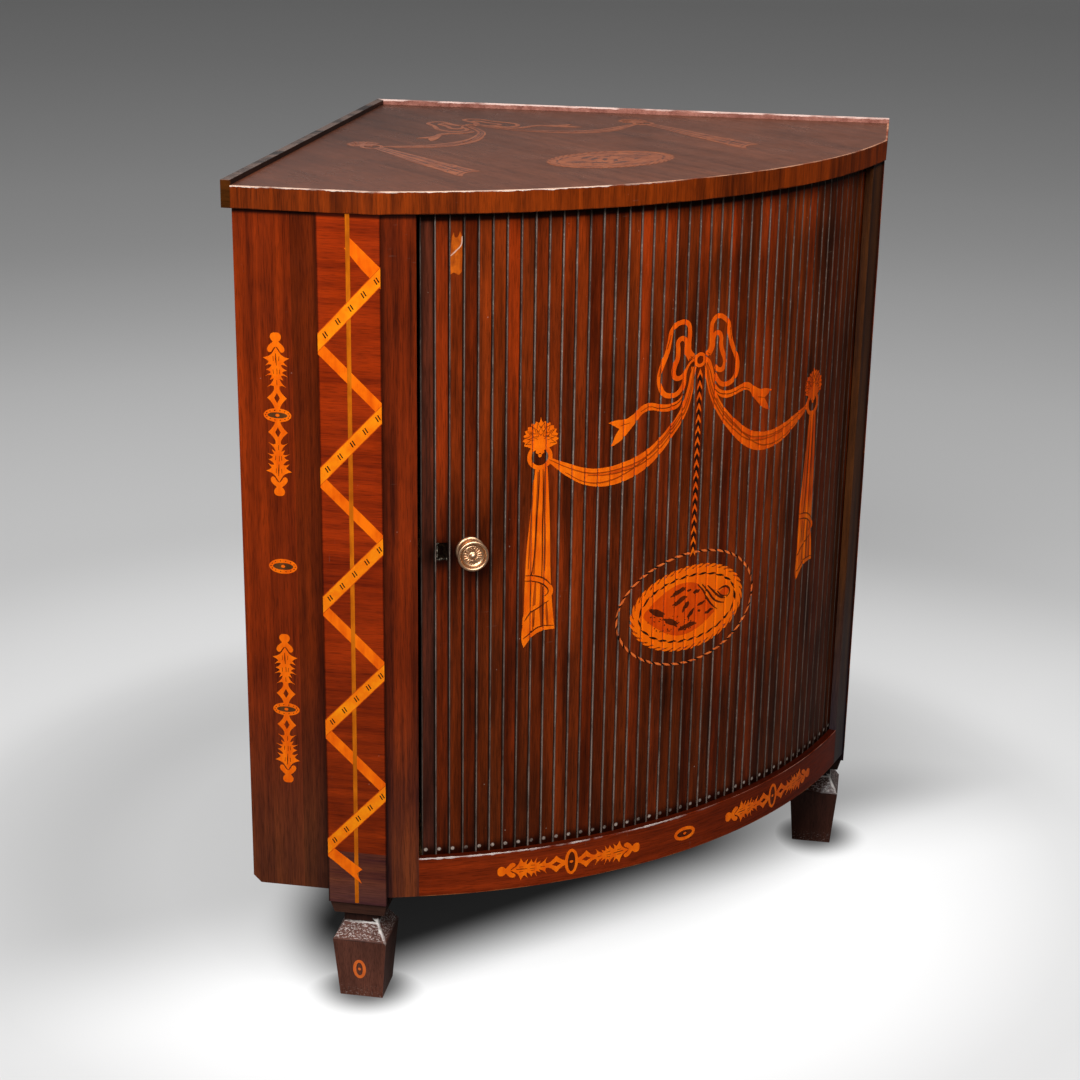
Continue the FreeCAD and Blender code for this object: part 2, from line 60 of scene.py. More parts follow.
# %% Places
MM = 0.001
HALF_ROOT = math.sqrt(0.5)
slide = next(joint for joint in frame["joints"] if joint["name"] == "shutter_slide")
AXIS_Y = slide["pos_m"][1] / MM
WING_FACE, PILASTER_FACE = 590.0, 592.5
RAIL_RADIUS, SLAT_RADIUS = 607.0, 597.5
RAIL_TOP = 167.0
SHOULDER, NECK, SHOULDER_HALF, NECK_HALF, FOOT_AXIS = 68.0, 85.5, 28.3, 18.0, 111.0
HIP_SLOPE = (SHOULDER_HALF - NECK_HALF) / (NECK - SHOULDER)
HIP = FOOT_AXIS + SHOULDER_HALF + HIP_SLOPE * SHOULDER
FOOT_INSET = 30.2
FAR_HIP = WING_FACE - FOOT_INSET + SHOULDER_HALF + HIP_SLOPE * SHOULDER
SLAT_HALF, SLAT_ARRIS = 6.625, 1.9
SLAT_PITCH = math.radians(1.32977)
SLAT_START = math.radians(16.9502 - 45.0)


def corner_point(a, b, z):
    return Vector(((b - a) * HALF_ROOT, AXIS_Y - (a + b) * HALF_ROOT, z)) * MM


def on_wing(u, v, h):
    return corner_point(WING_FACE + h, u, v)


def on_pilaster(u, v, h):
    return corner_point(PILASTER_FACE + h, u, v)


def on_rail(u, v, h):
    turn = u / RAIL_RADIUS
    reach = RAIL_RADIUS + h
    return Vector((reach * math.sin(turn), AXIS_Y - reach * math.cos(turn), v)) * MM


def slat_middle(number):
    return SLAT_START + SLAT_PITCH * (number - 0.5)


def slat_at(u):
    return math.floor((u / SLAT_RADIUS - SLAT_START) / SLAT_PITCH) + 1


def on_slat(u, v, h):
    """A point of a slat's face: flat in the middle and rounded over at both arrises."""
    turn = slat_middle(slat_at(u))
    across = u - turn * SLAT_RADIUS
    over = max(0.0, abs(across) - (SLAT_HALF - SLAT_ARRIS)) / SLAT_ARRIS
    lean = math.asin(min(over, 0.999))
    out = (SLAT_ARRIS + h) * math.cos(lean) - SLAT_ARRIS
    across += math.copysign(h * math.sin(lean), across)
    tangent = Vector((math.cos(turn), math.sin(turn), 0))
    normal = Vector((math.sin(turn), -math.cos(turn), 0))
    flat = normal * (SLAT_RADIUS + out) + tangent * across
    return (flat + Vector((0, AXIS_Y, v))) * MM


print("bow axis at", round(AXIS_Y, 1), "mm; slat 22 at", round(slat_middle(22) * SLAT_RADIUS, 1), "mm")

# %% [markdown]
# ## Camera
# The camera looks from the left and from above, as a person does who stands before the cabinet. Its place
# was worked out from the straight edges of the carcase, so lens, distance and turn belong together.

# %% Camera
LOOK_AT = Vector((-0.0074925, -0.046727, 0.404088))
YAW, PITCH_DOWN, ROLL = (math.radians(angle) for angle in (-35.574, 19.131, 0.909))
DISTANCE, LENS, SENSOR = 2.354828, 69.521, 36.0

reach = math.cos(PITCH_DOWN)
back = Vector((math.sin(YAW) * reach, -math.cos(YAW) * reach, math.sin(PITCH_DOWN)))
level = (-back).cross(Vector((0, 0, 1))).normalized()
rise = level.cross(-back)
side = level * math.cos(ROLL) + rise * math.sin(ROLL)
head = rise * math.cos(ROLL) - level * math.sin(ROLL)
camera_data = bpy.data.cameras.new("camera")
camera_data.lens = LENS
camera_data.sensor_width = SENSOR
camera = bpy.data.objects.new("camera", camera_data)
aim = Matrix((side, head, back)).transposed().to_4x4()
camera.matrix_world = Matrix.Translation(LOOK_AT + back * DISTANCE) @ aim
bpy.context.scene.collection.objects.link(camera)
bpy.context.scene.camera = camera
bpy.context.scene.view_settings.view_transform = "Standard"
print("camera at", [round(x, 3) for x in camera.location])

# %% [markdown]
# ## A short way to write nodes
# A material is a net of nodes. Each helper below adds one node and wires it: a wire is either a socket of
# another node or a plain value. A socket knows the net it belongs to, so most helpers need no more than
# that. `new_group` starts a shared effect with named sockets.

# %% Node helpers
def plug(socket, value):
    if isinstance(value, bpy.types.NodeSocket):
        socket.id_data.links.new(value, socket)
    else:
        socket.default_value = value


def wire(sockets, wires):
    for key, value in wires.items():
        plug(sockets[key], value)


def node(tree, kind, wires=None, **settings):
    made = tree.nodes.new("ShaderNode" + kind)
    for key, value in settings.items():
        setattr(made, key, value)
    wire(made.inputs, wires or {})
    return made


def net_of(*values):
    return next(value.id_data for value in values if isinstance(value, bpy.types.NodeSocket))


def object_place(tree):
    return node(tree, "TexCoord").outputs["Object"]


SOCKETS = {"value": "NodeSocketFloat", "colour": "NodeSocketColor", "vector": "NodeSocketVector"}


def new_group(name, takes, gives):
    tree = bpy.data.node_groups.new(name, "ShaderNodeTree")
    for way, labels in (("INPUT", takes), ("OUTPUT", gives)):
        for label, kind in labels.items():
            tree.interface.new_socket(label, in_out=way, socket_type=SOCKETS[kind])
    return tree, tree.nodes.new("NodeGroupInput").outputs, tree.nodes.new("NodeGroupOutput").inputs


def use_group(tree, name, wires=None):
    return node(tree, "Group", wires, node_tree=bpy.data.node_groups[name]).outputs


finishes = {}


def new_material(name):
    material = bpy.data.materials.new(name)
    material.use_nodes = True
    finishes[name] = material
    return material.node_tree, material.node_tree.nodes["Principled BSDF"]


print("node helpers ready")

# %% [markdown]
# ## Reckoning with nodes
# Most of a material is small sums: a mask times a mask, the larger of two, a soft step from one value to
# another. With a short word for each sum, a recipe reads like a sentence. `cloud` is the noise that all
# wear comes from.

# %% Sums and steps
def calc(operation, first, second=0.0, third=0.0, clamp=False):
    wires = {0: first, 1: second, 2: third}
    return node(net_of(*wires.values()), "Math", wires, operation=operation, use_clamp=clamp).outputs[0]


def times(*factors, clamp=False):
    product = factors[0]
    for factor in factors[1:-1]:
        product = calc("MULTIPLY", product, factor)
    return calc("MULTIPLY", product, factors[-1], clamp=clamp)


plus, minus = partial(calc, "ADD"), partial(calc, "SUBTRACT")
size, scaled = partial(calc, "ABSOLUTE"), partial(calc, "MULTIPLY_ADD")


def most(first, *others):
    for other in others:
        first = calc("MAXIMUM", first, other)
    return first


def apart(first, first_at, second, second_at):
    """How far a point with these two measures is from a spot."""
    squares = [calc("POWER", minus(value, at), 2.0) for value, at in ((first, first_at), (second, second_at))]
    return calc("SQRT", plus(*squares))


def step(value, low, high, first=0.0, last=1.0):
    """Goes softly from the first result to the last one while the value goes from low to high."""
    wires = {"Value": value, "From Min": low, "From Max": high, "To Min": first, "To Max": last}
    return node(net_of(value), "MapRange", wires, interpolation_type="SMOOTHSTEP").outputs["Result"]


print("sums and steps ready")

# %% Colours, noise and relief
def blend(share, first, second, mode="MIX"):
    made = node(net_of(share, first, second), "Mix", data_type="RGBA", blend_type=mode)
    colours = [socket for socket in made.inputs if socket.type == "RGBA"]
    for socket, value in ((made.inputs[0], share), (colours[0], first), (colours[1], second)):
        plug(socket, value)
    return next(socket for socket in made.outputs if socket.type == "RGBA")


def tint(colour, paint, share=1.0):
    return blend(share, colour, paint, "MULTIPLY")


def stretch(vector, across, second, along):
    wires = {0: vector, 1: (across, second, along)}
    return node(net_of(vector), "VectorMath", wires, operation="MULTIPLY").outputs[0]


def cloud(vector, scale=1.0, detail=3.0, rough=0.55):
    wires = {"Vector": vector, "Scale": scale, "Detail": detail, "Roughness": rough}
    return node(net_of(vector), "TexNoise", wires).outputs["Fac"]


def relief(height, strength, deep):
    return node(net_of(height), "Bump", {"Height": height, "Strength": strength, "Distance": deep}).outputs[0]


def paint_of(shader):
    """What makes a shader's colour so far."""
    return shader.inputs["Base Color"].links[0].from_socket


def grey(tone):
    return (tone, tone, tone, 1.0)


def rgb(red, green, blue):
    """A colour as a paint chart gives it, 0 to 255, as the linear values that shaders use."""
    def linear(value):
        value /= 255.0
        return value / 12.92 if value <= 0.04045 else ((value + 0.055) / 1.055) ** 2.4
    return (linear(red), linear(green), linear(blue), 1.0)


print("colours, noise and relief ready")

# %% [markdown]
# ## Floor, light and room
# A pale floor runs out to grey far away, so that the object stands on a plain sweep. Near the object it
# glows a little for the camera alone, which softens the shadow without more light on the object. It is
# painted dark deep under the carcase and round the feet, where little light comes, and greyer behind. One
# lamp at the left models the forms, a broad one overhead lights the upper part more than the lower one,
# and a small one behind finds the rear edges. The room itself is an even grey, which polished timber
# mirrors.

# %% Floor
FLOOR_TONES = ((0.0, 0.85), (0.42, 0.83), (0.55, 0.72), (0.68, 0.58), (0.9, 0.60), (1.2, 0.64), (1.6, 0.69),
               (2.3, 0.79), (3.3, 0.87), (4.8, 0.90), (6.5, 0.84), (8.6, 0.75), (12.0, 0.66))
FLOOR_RADIUS, TONES_END = 40.0, 12.0
GLOW_SHARE, GLOW_LIGHT, BOUNCE = 0.62, 1.45, 0.10
FOOT_X, FOOT_Y = 0.317, -0.177

bpy.ops.object.select_all(action="DESELECT")
bpy.ops.mesh.primitive_circle_add(vertices=96, radius=FLOOR_RADIUS, fill_type="NGON", location=(0, 0, 0))
floor = bpy.context.active_object
floor.name = "floor"
tree, shader = new_material("floor_paint")
place = object_place(tree)
far = node(tree, "VectorMath", {0: place}, operation="LENGTH").outputs["Value"]
ramp = node(tree, "ValToRGB", {"Fac": calc("DIVIDE", far, TONES_END)})
marks = ramp.color_ramp.elements
marks.remove(marks[1])
for number, (reach, tone) in enumerate(FLOOR_TONES):
    mark = marks[0] if number == 0 else marks.new(reach / TONES_END)
    mark.color = grey(tone)
seen = node(tree, "LightPath").outputs["Is Camera Ray"]
glow = times(step(far, 1.3, 0.7, 0.0, GLOW_SHARE), seen)
spread = node(tree, "SeparateXYZ", {0: place}).outputs
from_corner = minus(AXIS_Y * MM, spread["Y"])
from_left = plus(from_corner, spread["X"])
from_right = minus(from_corner, spread["X"])
deep = times(step(from_left, -0.07, 0.06), step(from_right, -0.2, 0.03), step(spread["Y"], -0.238, -0.112),
             step(spread["X"], -0.39, -0.28), step(spread["X"], 0.15, 0.35, 0.98, 0.4))
foot_off = apart(size(spread["X"]), FOOT_X, spread["Y"], FOOT_Y)
deep = most(deep, step(foot_off, 0.02, 0.072, 0.85, 0.0))
# painted shade: the floor near the carcase is darkened behind it
behind = scaled(spread["X"], 0.19, spread["Y"])
behind = times(step(behind, -0.26, 0.02, 0.0, 0.42), step(far, 0.8, 0.5))
tones = blend(behind, ramp.outputs["Color"], grey(0.0))
tones = blend(deep, tones, grey(0.0))
lit = blend(glow, tones, grey(0.0))
wire(shader.inputs, {"Base Color": blend(seen, grey(BOUNCE), lit), "Emission Color": tones,
                     "Emission Strength": times(glow, GLOW_LIGHT), "Roughness": 0.85,
                     "Specular IOR Level": 0.1})
floor.data.materials.append(finishes["floor_paint"])
print("floor: radius", FLOOR_RADIUS, "m,", len(FLOOR_TONES), "tones")

# %% Lamps and room
LAMPS = (
    ("key_lamp", (-1.75, -1.5, 2.05), (-0.1, -0.15, 0.6), 1.1, 52.0),
    ("top_lamp", (-0.15, -1.05, 2.7), (0.0, -0.3, 0.0), 2.0, 62.0),
    ("edge_lamp", (0.3, 1.7, 2.3), (0.0, 0.1, 0.85), 1.2, 12.0),
)
for name, place, aim, width, power in LAMPS:
    lamp_data = bpy.data.lights.new(name, "AREA")
    lamp_data.size = width
    lamp_data.energy = power
    lamp = bpy.data.objects.new(name, lamp_data)
    lamp.location = place
    lamp.rotation_mode = "QUATERNION"
    lamp.rotation_quaternion = (Vector(aim) - Vector(place)).to_track_quat("-Z", "Y")
    bpy.context.scene.collection.objects.link(lamp)

world = bpy.data.worlds.new("room")
bpy.context.scene.world = world
world.use_nodes = True
tree = world.node_tree
path = node(tree, "LightPath").outputs
tone = blend(path["Is Camera Ray"], grey(0.16), grey(0.13))
tone = blend(path["Is Glossy Ray"], tone, grey(0.22))
plug(tree.nodes["Background"].inputs["Color"], tone)
print("lamps:", len(LAMPS))

# %% [markdown]
# ## Shared effects
# Timber needs streaks, a slow mottle, fine hairs and pores, each at its own scale. All run along the
# grain, so the group takes a place whose Z is the way of the grain. `bow_place` says in millimetres where
# a point is: its height and its radius, the way along the bow that grain can follow, the slat it is on and
# how far across it, and the way from each wall. It also gives the distance from two arrises, the rail's
# upper one and the hip of a foot's shoulder. `scuffs` gives the small pale marks of two centuries of use,
# and the edge group a line along one arris, which is bare wood and dust on some arrises and painted
# highlights and painted shade on others. Each is a group, so that many finishes can use it with values of
# their own.

# %% Timber figure
tree, takes, gives = new_group(
    "timber_figure", {"Grain place": "vector", "Light": "colour", "Dark": "colour", "Streak": "value"},
    {"Colour": "colour", "Pores": "value"})
grain = takes["Grain place"]
streaks = cloud(stretch(grain, 95.0, 95.0, 3.0), 1.0, 5.0, 0.62)
mottle = cloud(stretch(grain, 16.0, 16.0, 9.0))
pores = cloud(stretch(grain, 1500.0, 1500.0, 60.0), 1.0, 2.0)
hairs = cloud(stretch(grain, 520.0, 520.0, 8.0))
share = scaled(minus(streaks, 0.5), takes["Streak"], 0.5)
share = plus(share, times(minus(mottle, 0.5), 1.3))
share = plus(share, times(minus(hairs, 0.5), 0.7), clamp=True)
pitted = step(pores, 0.36, 0.52, 0.62, 1.0)
wire(gives, {"Colour": tint(blend(share, takes["Dark"], takes["Light"]), pitted), "Pores": pitted})
print("group:", tree.name)

# %% Place on the bow
MEASURES = ("Height", "Radius", "Slat", "Across", "Wall way", "Far way", "Arc", "Ledge", "Hip")
tree, takes, gives = new_group("bow_place", {}, {"Grain along": "vector", **dict.fromkeys(MEASURES, "value")})
place = node(tree, "SeparateXYZ", {0: object_place(tree)}).outputs
from_axis = minus(AXIS_Y * MM, place["Y"])
turn = calc("ARCTAN2", place["X"], from_axis)
radius = calc("SQRT", plus(times(place["X"], place["X"]), times(from_axis, from_axis)))
along = {"X": place["Z"], "Y": radius, "Z": times(turn, RAIL_RADIUS * MM)}
height = times(place["Z"], 1 / MM)
reach = times(radius, 1 / MM)
count = calc("DIVIDE", minus(turn, SLAT_START), SLAT_PITCH)
middle = minus(calc("FRACT", count), 0.5)
wall_way = times(minus(from_axis, size(place["X"])), HALF_ROOT / MM)
far_way = times(plus(from_axis, size(place["X"])), HALF_ROOT / MM)
hips = ((wall_way, HIP), (far_way, FAR_HIP))
slopes = [size(minus(scaled(height, HIP_SLOPE, way), hip)) for way, hip in hips]
wire(gives, {
    "Grain along": node(tree, "CombineXYZ", along).outputs[0], "Height": height, "Radius": reach,
    "Slat": calc("FLOOR", count), "Across": times(middle, SLAT_PITCH * SLAT_RADIUS), "Wall way": wall_way,
    "Far way": far_way, "Arc": times(turn, SLAT_RADIUS),
    "Ledge": most(size(minus(height, RAIL_TOP)), size(minus(reach, RAIL_RADIUS))), "Hip": most(*slopes)})
print("group:", tree.name)

# %% Scuffs and worn edges
tree, takes, gives = new_group("scuffs", {"Place": "vector", "Amount": "value"}, {"Mask": "value"})
place = takes["Place"]
dots = node(tree, "TexVoronoi", {"Vector": place, "Scale": 95.0}).outputs
spots = step(dots["Distance"], 0.03, 0.08, 1.0, 0.0)
few = calc("GREATER_THAN", node(tree, "SeparateColor", {0: dots["Color"]}).outputs[0], 0.82)
lines = step(cloud(stretch(place, 40.0, 40.0, 900.0), 1.0, 2.0), 0.71, 0.76)
lines = times(lines, step(cloud(place, 9.0), 0.5, 0.62))
mask = most(times(spots, few), times(lines, 0.6))
patches = step(cloud(place, 7.0, 4.0), 0.42, 0.62)
plug(gives["Mask"], times(mask, patches, takes["Amount"], clamp=True))

tree, takes, gives = new_group(
    "arris_wear_and_light", {"Place": "vector", **dict.fromkeys(("Measure", "Edge", "Width", "Amount"), "value")},
    {"Mask": "value"})
away = size(minus(takes["Measure"], takes["Edge"]))
ragged = cloud(takes["Place"], 90.0, 5.0, 0.7)
reach = times(takes["Width"], step(ragged, 0.3, 0.75, 0.35, 1.35))
near = step(calc("DIVIDE", away, reach), 0.6, 1.0, 1.0, 0.0)
broken = step(cloud(takes["Place"], 26.0, 4.0), 0.36, 0.58)
plug(gives["Mask"], times(near, broken, takes["Amount"], clamp=True))
print("groups: scuffs, arris_wear_and_light")

# %% [markdown]
# ## Polished timber
# Every polished board has the same recipe: figure for colour, scuffs, a thin clear coat, and pores as a
# faint bump. What differs is the way of the grain, the two colours, where the edges are worn, and the
# highlights and shade that some finishes paint along arrises and over parts. The recipe is a function,
# and each finish names its own values. A picture of wood could be used instead, but noise stays sharp
# close by and follows the grain of every board.

# %% Recipe for polished timber
PALE_DUST = rgb(206, 176, 156)
COAT_ROUGH = 0.12
GRAIN_TURN = {"up": (0, 0, 0), "x": (0, math.pi / 2, 0), "y": (math.pi / 2, 0, 0)}


def timber(name, light, dark, grain="up", streak=2.2, gloss=0.34, coat=0.06, shine=0.12, scuff=0.5, edges=(),
           tints=()):
    """edges: (measure, edge in mm, width in mm, amount, colour) for each line along an arris, be it wear, a
    painted highlight or painted shade, and where it needs one a second measure with the two values between
    which the line sets in.
    tints: (measure, from, to, colour) where a multiplied colour grows in between the two; several tints
    are painted shade."""
    tree, shader = new_material(name)
    place = object_place(tree)
    bow = use_group(tree, "bow_place")
    if grain == "bow":
        way = bow["Grain along"]
    elif grain == "wall":
        wires = {"X": times(bow["Height"], MM), "Z": times(bow["Wall way"], MM)}
        way = node(tree, "CombineXYZ", wires).outputs[0]
    else:
        way = node(tree, "Mapping", {"Vector": place, "Rotation": GRAIN_TURN[grain]}).outputs[0]
    wires = {"Grain place": way, "Light": light, "Dark": dark, "Streak": streak}
    figure = use_group(tree, "timber_figure", wires)
    colour = figure["Colour"]
    for measure, low, high, paint in tints:
        colour = tint(colour, paint, step(bow[measure], low, high))
    for measure, edge, width, amount, paint, *limit in edges:
        if limit:
            amount = times(step(bow[limit[0]], limit[1], limit[2]), amount)
        wires = {"Place": place, "Measure": bow[measure], "Edge": edge, "Width": width, "Amount": amount}
        colour = blend(use_group(tree, "arris_wear_and_light", wires)["Mask"], colour, paint)
    marks = use_group(tree, "scuffs", {"Place": way, "Amount": scuff})["Mask"]
    rough = scaled(cloud(place, 24.0, 4.0), 0.22, gloss - 0.11)
    wire(shader.inputs, {
        "Base Color": blend(times(marks, 0.7), colour, PALE_DUST),
        "Roughness": plus(rough, times(marks, 0.4), clamp=True), "Specular IOR Level": shine,
        "Coat Weight": coat, "Coat Roughness": COAT_ROUGH, "Normal": relief(figure["Pores"], 0.12, 0.0004)})
    return tree, shader


print("timber recipe ready")

# %% Finishes of the front
# greyer and darker towards the bottom
GREYER_LOW = (0.56, 1.25, 5.0, 1.0)
SHADE = (0.58, 0.6, 0.66, 1.0)
LINE = grey(0.25)
# painted shadow: nearly black just under the top
SHADOW_UNDER_TOP = ("Height", 823.0, 826.5, grey(0.12))

timber("wing_mahogany", rgb(150, 50, 8), rgb(88, 26, 5), tints=[
    ("Wall way", 54.6, 55.2, (0.62, 0.7, 0.8, 1)), ("Wall way", 74.0, 80.0, SHADE),
    ("Height", 420.0, 140.0, GREYER_LOW), SHADOW_UNDER_TOP])
# Stile: greyer towards the bottom; painted shade along its left edge beside the pilaster and over the right
# stile, away from the lamp
timber("stile_mahogany", rgb(134, 44, 8), rgb(66, 20, 6), scuff=0.7, streak=3.0, tints=[
    ("Height", 400.0, 140.0, (0.8, 1.65, 5.0, 1)), ("Wall way", 147.5, 143.0, (0.4, 0.45, 0.6, 1)),
    ("Arc", 0.0, 250.0, (0.38, 1.1, 2.8, 1)), SHADOW_UNDER_TOP])
# Pilaster: dark lines at both edges, greyer and darker towards the bottom, and the right pilaster painted
# darker, as shade
timber("pilaster_mahogany", rgb(176, 54, 6), rgb(104, 26, 4), grain="wall", streak=2.0, tints=[
    ("Wall way", 82.6, 80.8, LINE), ("Wall way", 140.2, 141.8, LINE),
    ("Height", 173.6, 172.8, (0.6, 1.6, 11.0, 1)), ("Height", 152.0, 120.0, (0.74, 0.9, 1.5, 1)),
    ("Height", 560.0, 180.0, (0.72, 0.85, 1.0, 1)), ("Arc", 0.0, 250.0, (0.55, 0.7, 1.0, 1)), SHADOW_UNDER_TOP])
# Rail: painted darker towards the right and nearly black on the ledge in front of the slats, as shade; its
# upper arris pale from wear all along, with a painted highlight on its left part
timber("rail_mahogany", rgb(150, 50, 13), rgb(92, 28, 8), grain="bow", streak=1.4, scuff=0.8, coat=0.03,
       shine=0.07, tints=[
           ("Arc", -60.0, 200.0, (0.58, 0.54, 0.5, 1)), ("Radius", 606.5, 605.6, (0.22, 0.2, 0.2, 1))],
       edges=[("Ledge", 0.0, 1.7, 1.0, rgb(226, 214, 208), "Arc", 60.0, -90.0),
              ("Ledge", 0.0, 0.6, 0.6, rgb(150, 118, 104)), ("Height", 124.0, 0.9, 0.7, rgb(150, 90, 50))])
print("finishes:", len(finishes))

# %% Finishes of the top, the feet and the back
# pale arris colour for wear and painted highlights
WHITE_WEAR_AND_HIGHLIGHT = rgb(244, 238, 232)
# painted shade: the right-hand foot and plinth darker
SHADED_FAR_SIDE = ("Arc", 0.0, 200.0, grey(0.5))
OAK = {"light": rgb(150, 112, 72), "dark": rgb(96, 66, 38), "streak": 2.8, "coat": 0.0}
BACK_END = 580.0


def board_tints(start):
    """Three boards of different tone from a start to the end of the back wall, with dark seams in between."""
    tints = []
    for number, tone in ((1, 0.8), (2, 1.4)):
        seam = start + (BACK_END - start) / 3 * number
        tints.append(("Far way", seam - 1.0, seam - 0.6, LINE))
        tints.append(("Far way", seam + 0.6, seam + 1.0, grey(tone / LINE[0])))
    return tints


# Top: the pale front arris is a painted highlight
timber("top_mahogany", rgb(108, 63, 45), rgb(76, 44, 32), grain="y", streak=1.5, gloss=0.3, coat=0.0,
       shine=0.04,
       tints=[("Arc", -120.0, -420.0, (0.78, 0.7, 0.62, 1)), ("Radius", 420.0, 120.0, (0.68, 0.72, 0.78, 1))],
       edges=[("Radius", 607.5, 1.2, 0.7, rgb(206, 160, 130))])
# Edge band: a painted highlight along the upper arris on its left part, a paler upper arris all along that is
# partly worn and partly a painted highlight, and its lower edge painted dark, as shade
timber("edge_crossband", rgb(146, 56, 8), rgb(80, 28, 5), streak=2.4, scuff=0.6,
       edges=[("Height", 850.0, 1.5, 1.0, rgb(246, 226, 210), "Arc", -20.0, -120.0),
              ("Height", 850.0, 0.6, 0.7, rgb(206, 150, 116)), ("Height", 829.0, 1.2, 0.7, rgb(40, 16, 6))])
# The two galleries are one wood painted two ways: the left dark, as painted shade, the right pale pink, as
# painted light, each with a painted highlight on its top edge
timber("shaded_gallery", rgb(38, 24, 20), rgb(20, 13, 11), grain="bow", coat=0.02, shine=0.05,
       tints=[("Radius", 588.0, 593.0, (4.6, 2.6, 0.5, 1))],
       edges=[("Height", 855.0, 0.5, 0.4, rgb(130, 104, 92))])
timber("lit_gallery", rgb(186, 126, 110), rgb(128, 74, 62), grain="bow",
       edges=[("Height", 855.0, 1.2, 0.9, rgb(240, 206, 194))])
# Foot: the neck painted dark, as shade under the plinth; white along the shoulder's top edge and hip, wear
# and painted highlight; a dark line at the shoulder's lower edge
foot_tree, foot_shader = timber(
    "foot_mahogany", rgb(118, 69, 54), rgb(74, 43, 34), scuff=1.0, streak=1.4, coat=0.2,
    tints=[SHADED_FAR_SIDE, ("Height", 85.0, 86.5, grey(0.3))],
    edges=[("Height", NECK, 1.6, 1.0, WHITE_WEAR_AND_HIGHLIGHT), ("Hip", 0.0, 3.2, 1.0, WHITE_WEAR_AND_HIGHLIGHT),
           ("Height", SHOULDER, 1.0, 0.6, rgb(40, 22, 18))])
timber("plinth_mahogany", rgb(98, 60, 46), rgb(62, 38, 30), grain="wall", scuff=0.8, tints=[SHADED_FAR_SIDE],
       edges=[("Height", 114.5, 0.8, 0.8, rgb(40, 24, 20))])
timber("inner_oak", gloss=0.62, **OAK)
timber("left_oak", gloss=0.62, tints=board_tints(12.0), **OAK)
timber("right_oak", gloss=0.62, tints=board_tints(0.0), **OAK)
timber("shelf_oak", gloss=0.6, grain="x", **OAK)
print("finishes:", len(finishes))

# %% [markdown]
# ## Sparkle and grit on the feet
# A foot catches what a broom throws up. Round its lower edge the polish is full of fine pale specks, much
# finer than scuffs, and on its sloping shoulder such specks are painted as a sparkle of light, so the
# finish of the feet gets one more noise of its own. Grains could be meshes, but thousands of them would
# show no more than this.

# %% Sparkle and grit on the feet
height = use_group(foot_tree, "bow_place")["Height"]
specks = cloud(stretch(object_place(foot_tree), 340.0, 340.0, 900.0), 1.0, 4.0, 0.7)
# painted highlight: fine pale specks on the sloping shoulder stand for sparkle of light; the next mask is
# pale specks of wear round the lower edge
speckling = times(step(specks, 0.5, 0.64), step(height, 68.5, 71.0), step(height, 86.0, 85.0))
low_grit = times(step(specks, 0.56, 0.7), step(height, 18.0, 3.0, 0.0, 0.5))
speckled = blend(most(speckling, low_grit), paint_of(foot_shader), rgb(206, 192, 186))
plug(foot_shader.inputs["Base Color"], speckled)
print("grit on foot_mahogany")

# %% [markdown]
# ## The slats
# Each slat was ripped from the same plank, yet some are redder and some nearly black, and polish and dust
# have settled in the gaps between them and on the ledge below. The number of the slat, from `bow_place`,
# picks its tone and its stains, and the way across it marks the two arrises: both are darkened, as dirt
# and painted shade between the slats, and the left one carries a pale line of dust with a painted
# highlight and painted glints. The slats are dark from hands round the knob and nearly black round the
# lock. They are painted darker towards the bottom and the right and nearly black just under the top, as
# shade, and painted paler at the right under the top, to lift the shadow there. A finish could be made
# for each slat. One recipe that reads the slat's number does the same for all of them.

# %% Slat finish
KNOB_ARC, LOCK_ARC, KNOB_HEIGHT = -244.0, slat_middle(2) * SLAT_RADIUS, 496.0


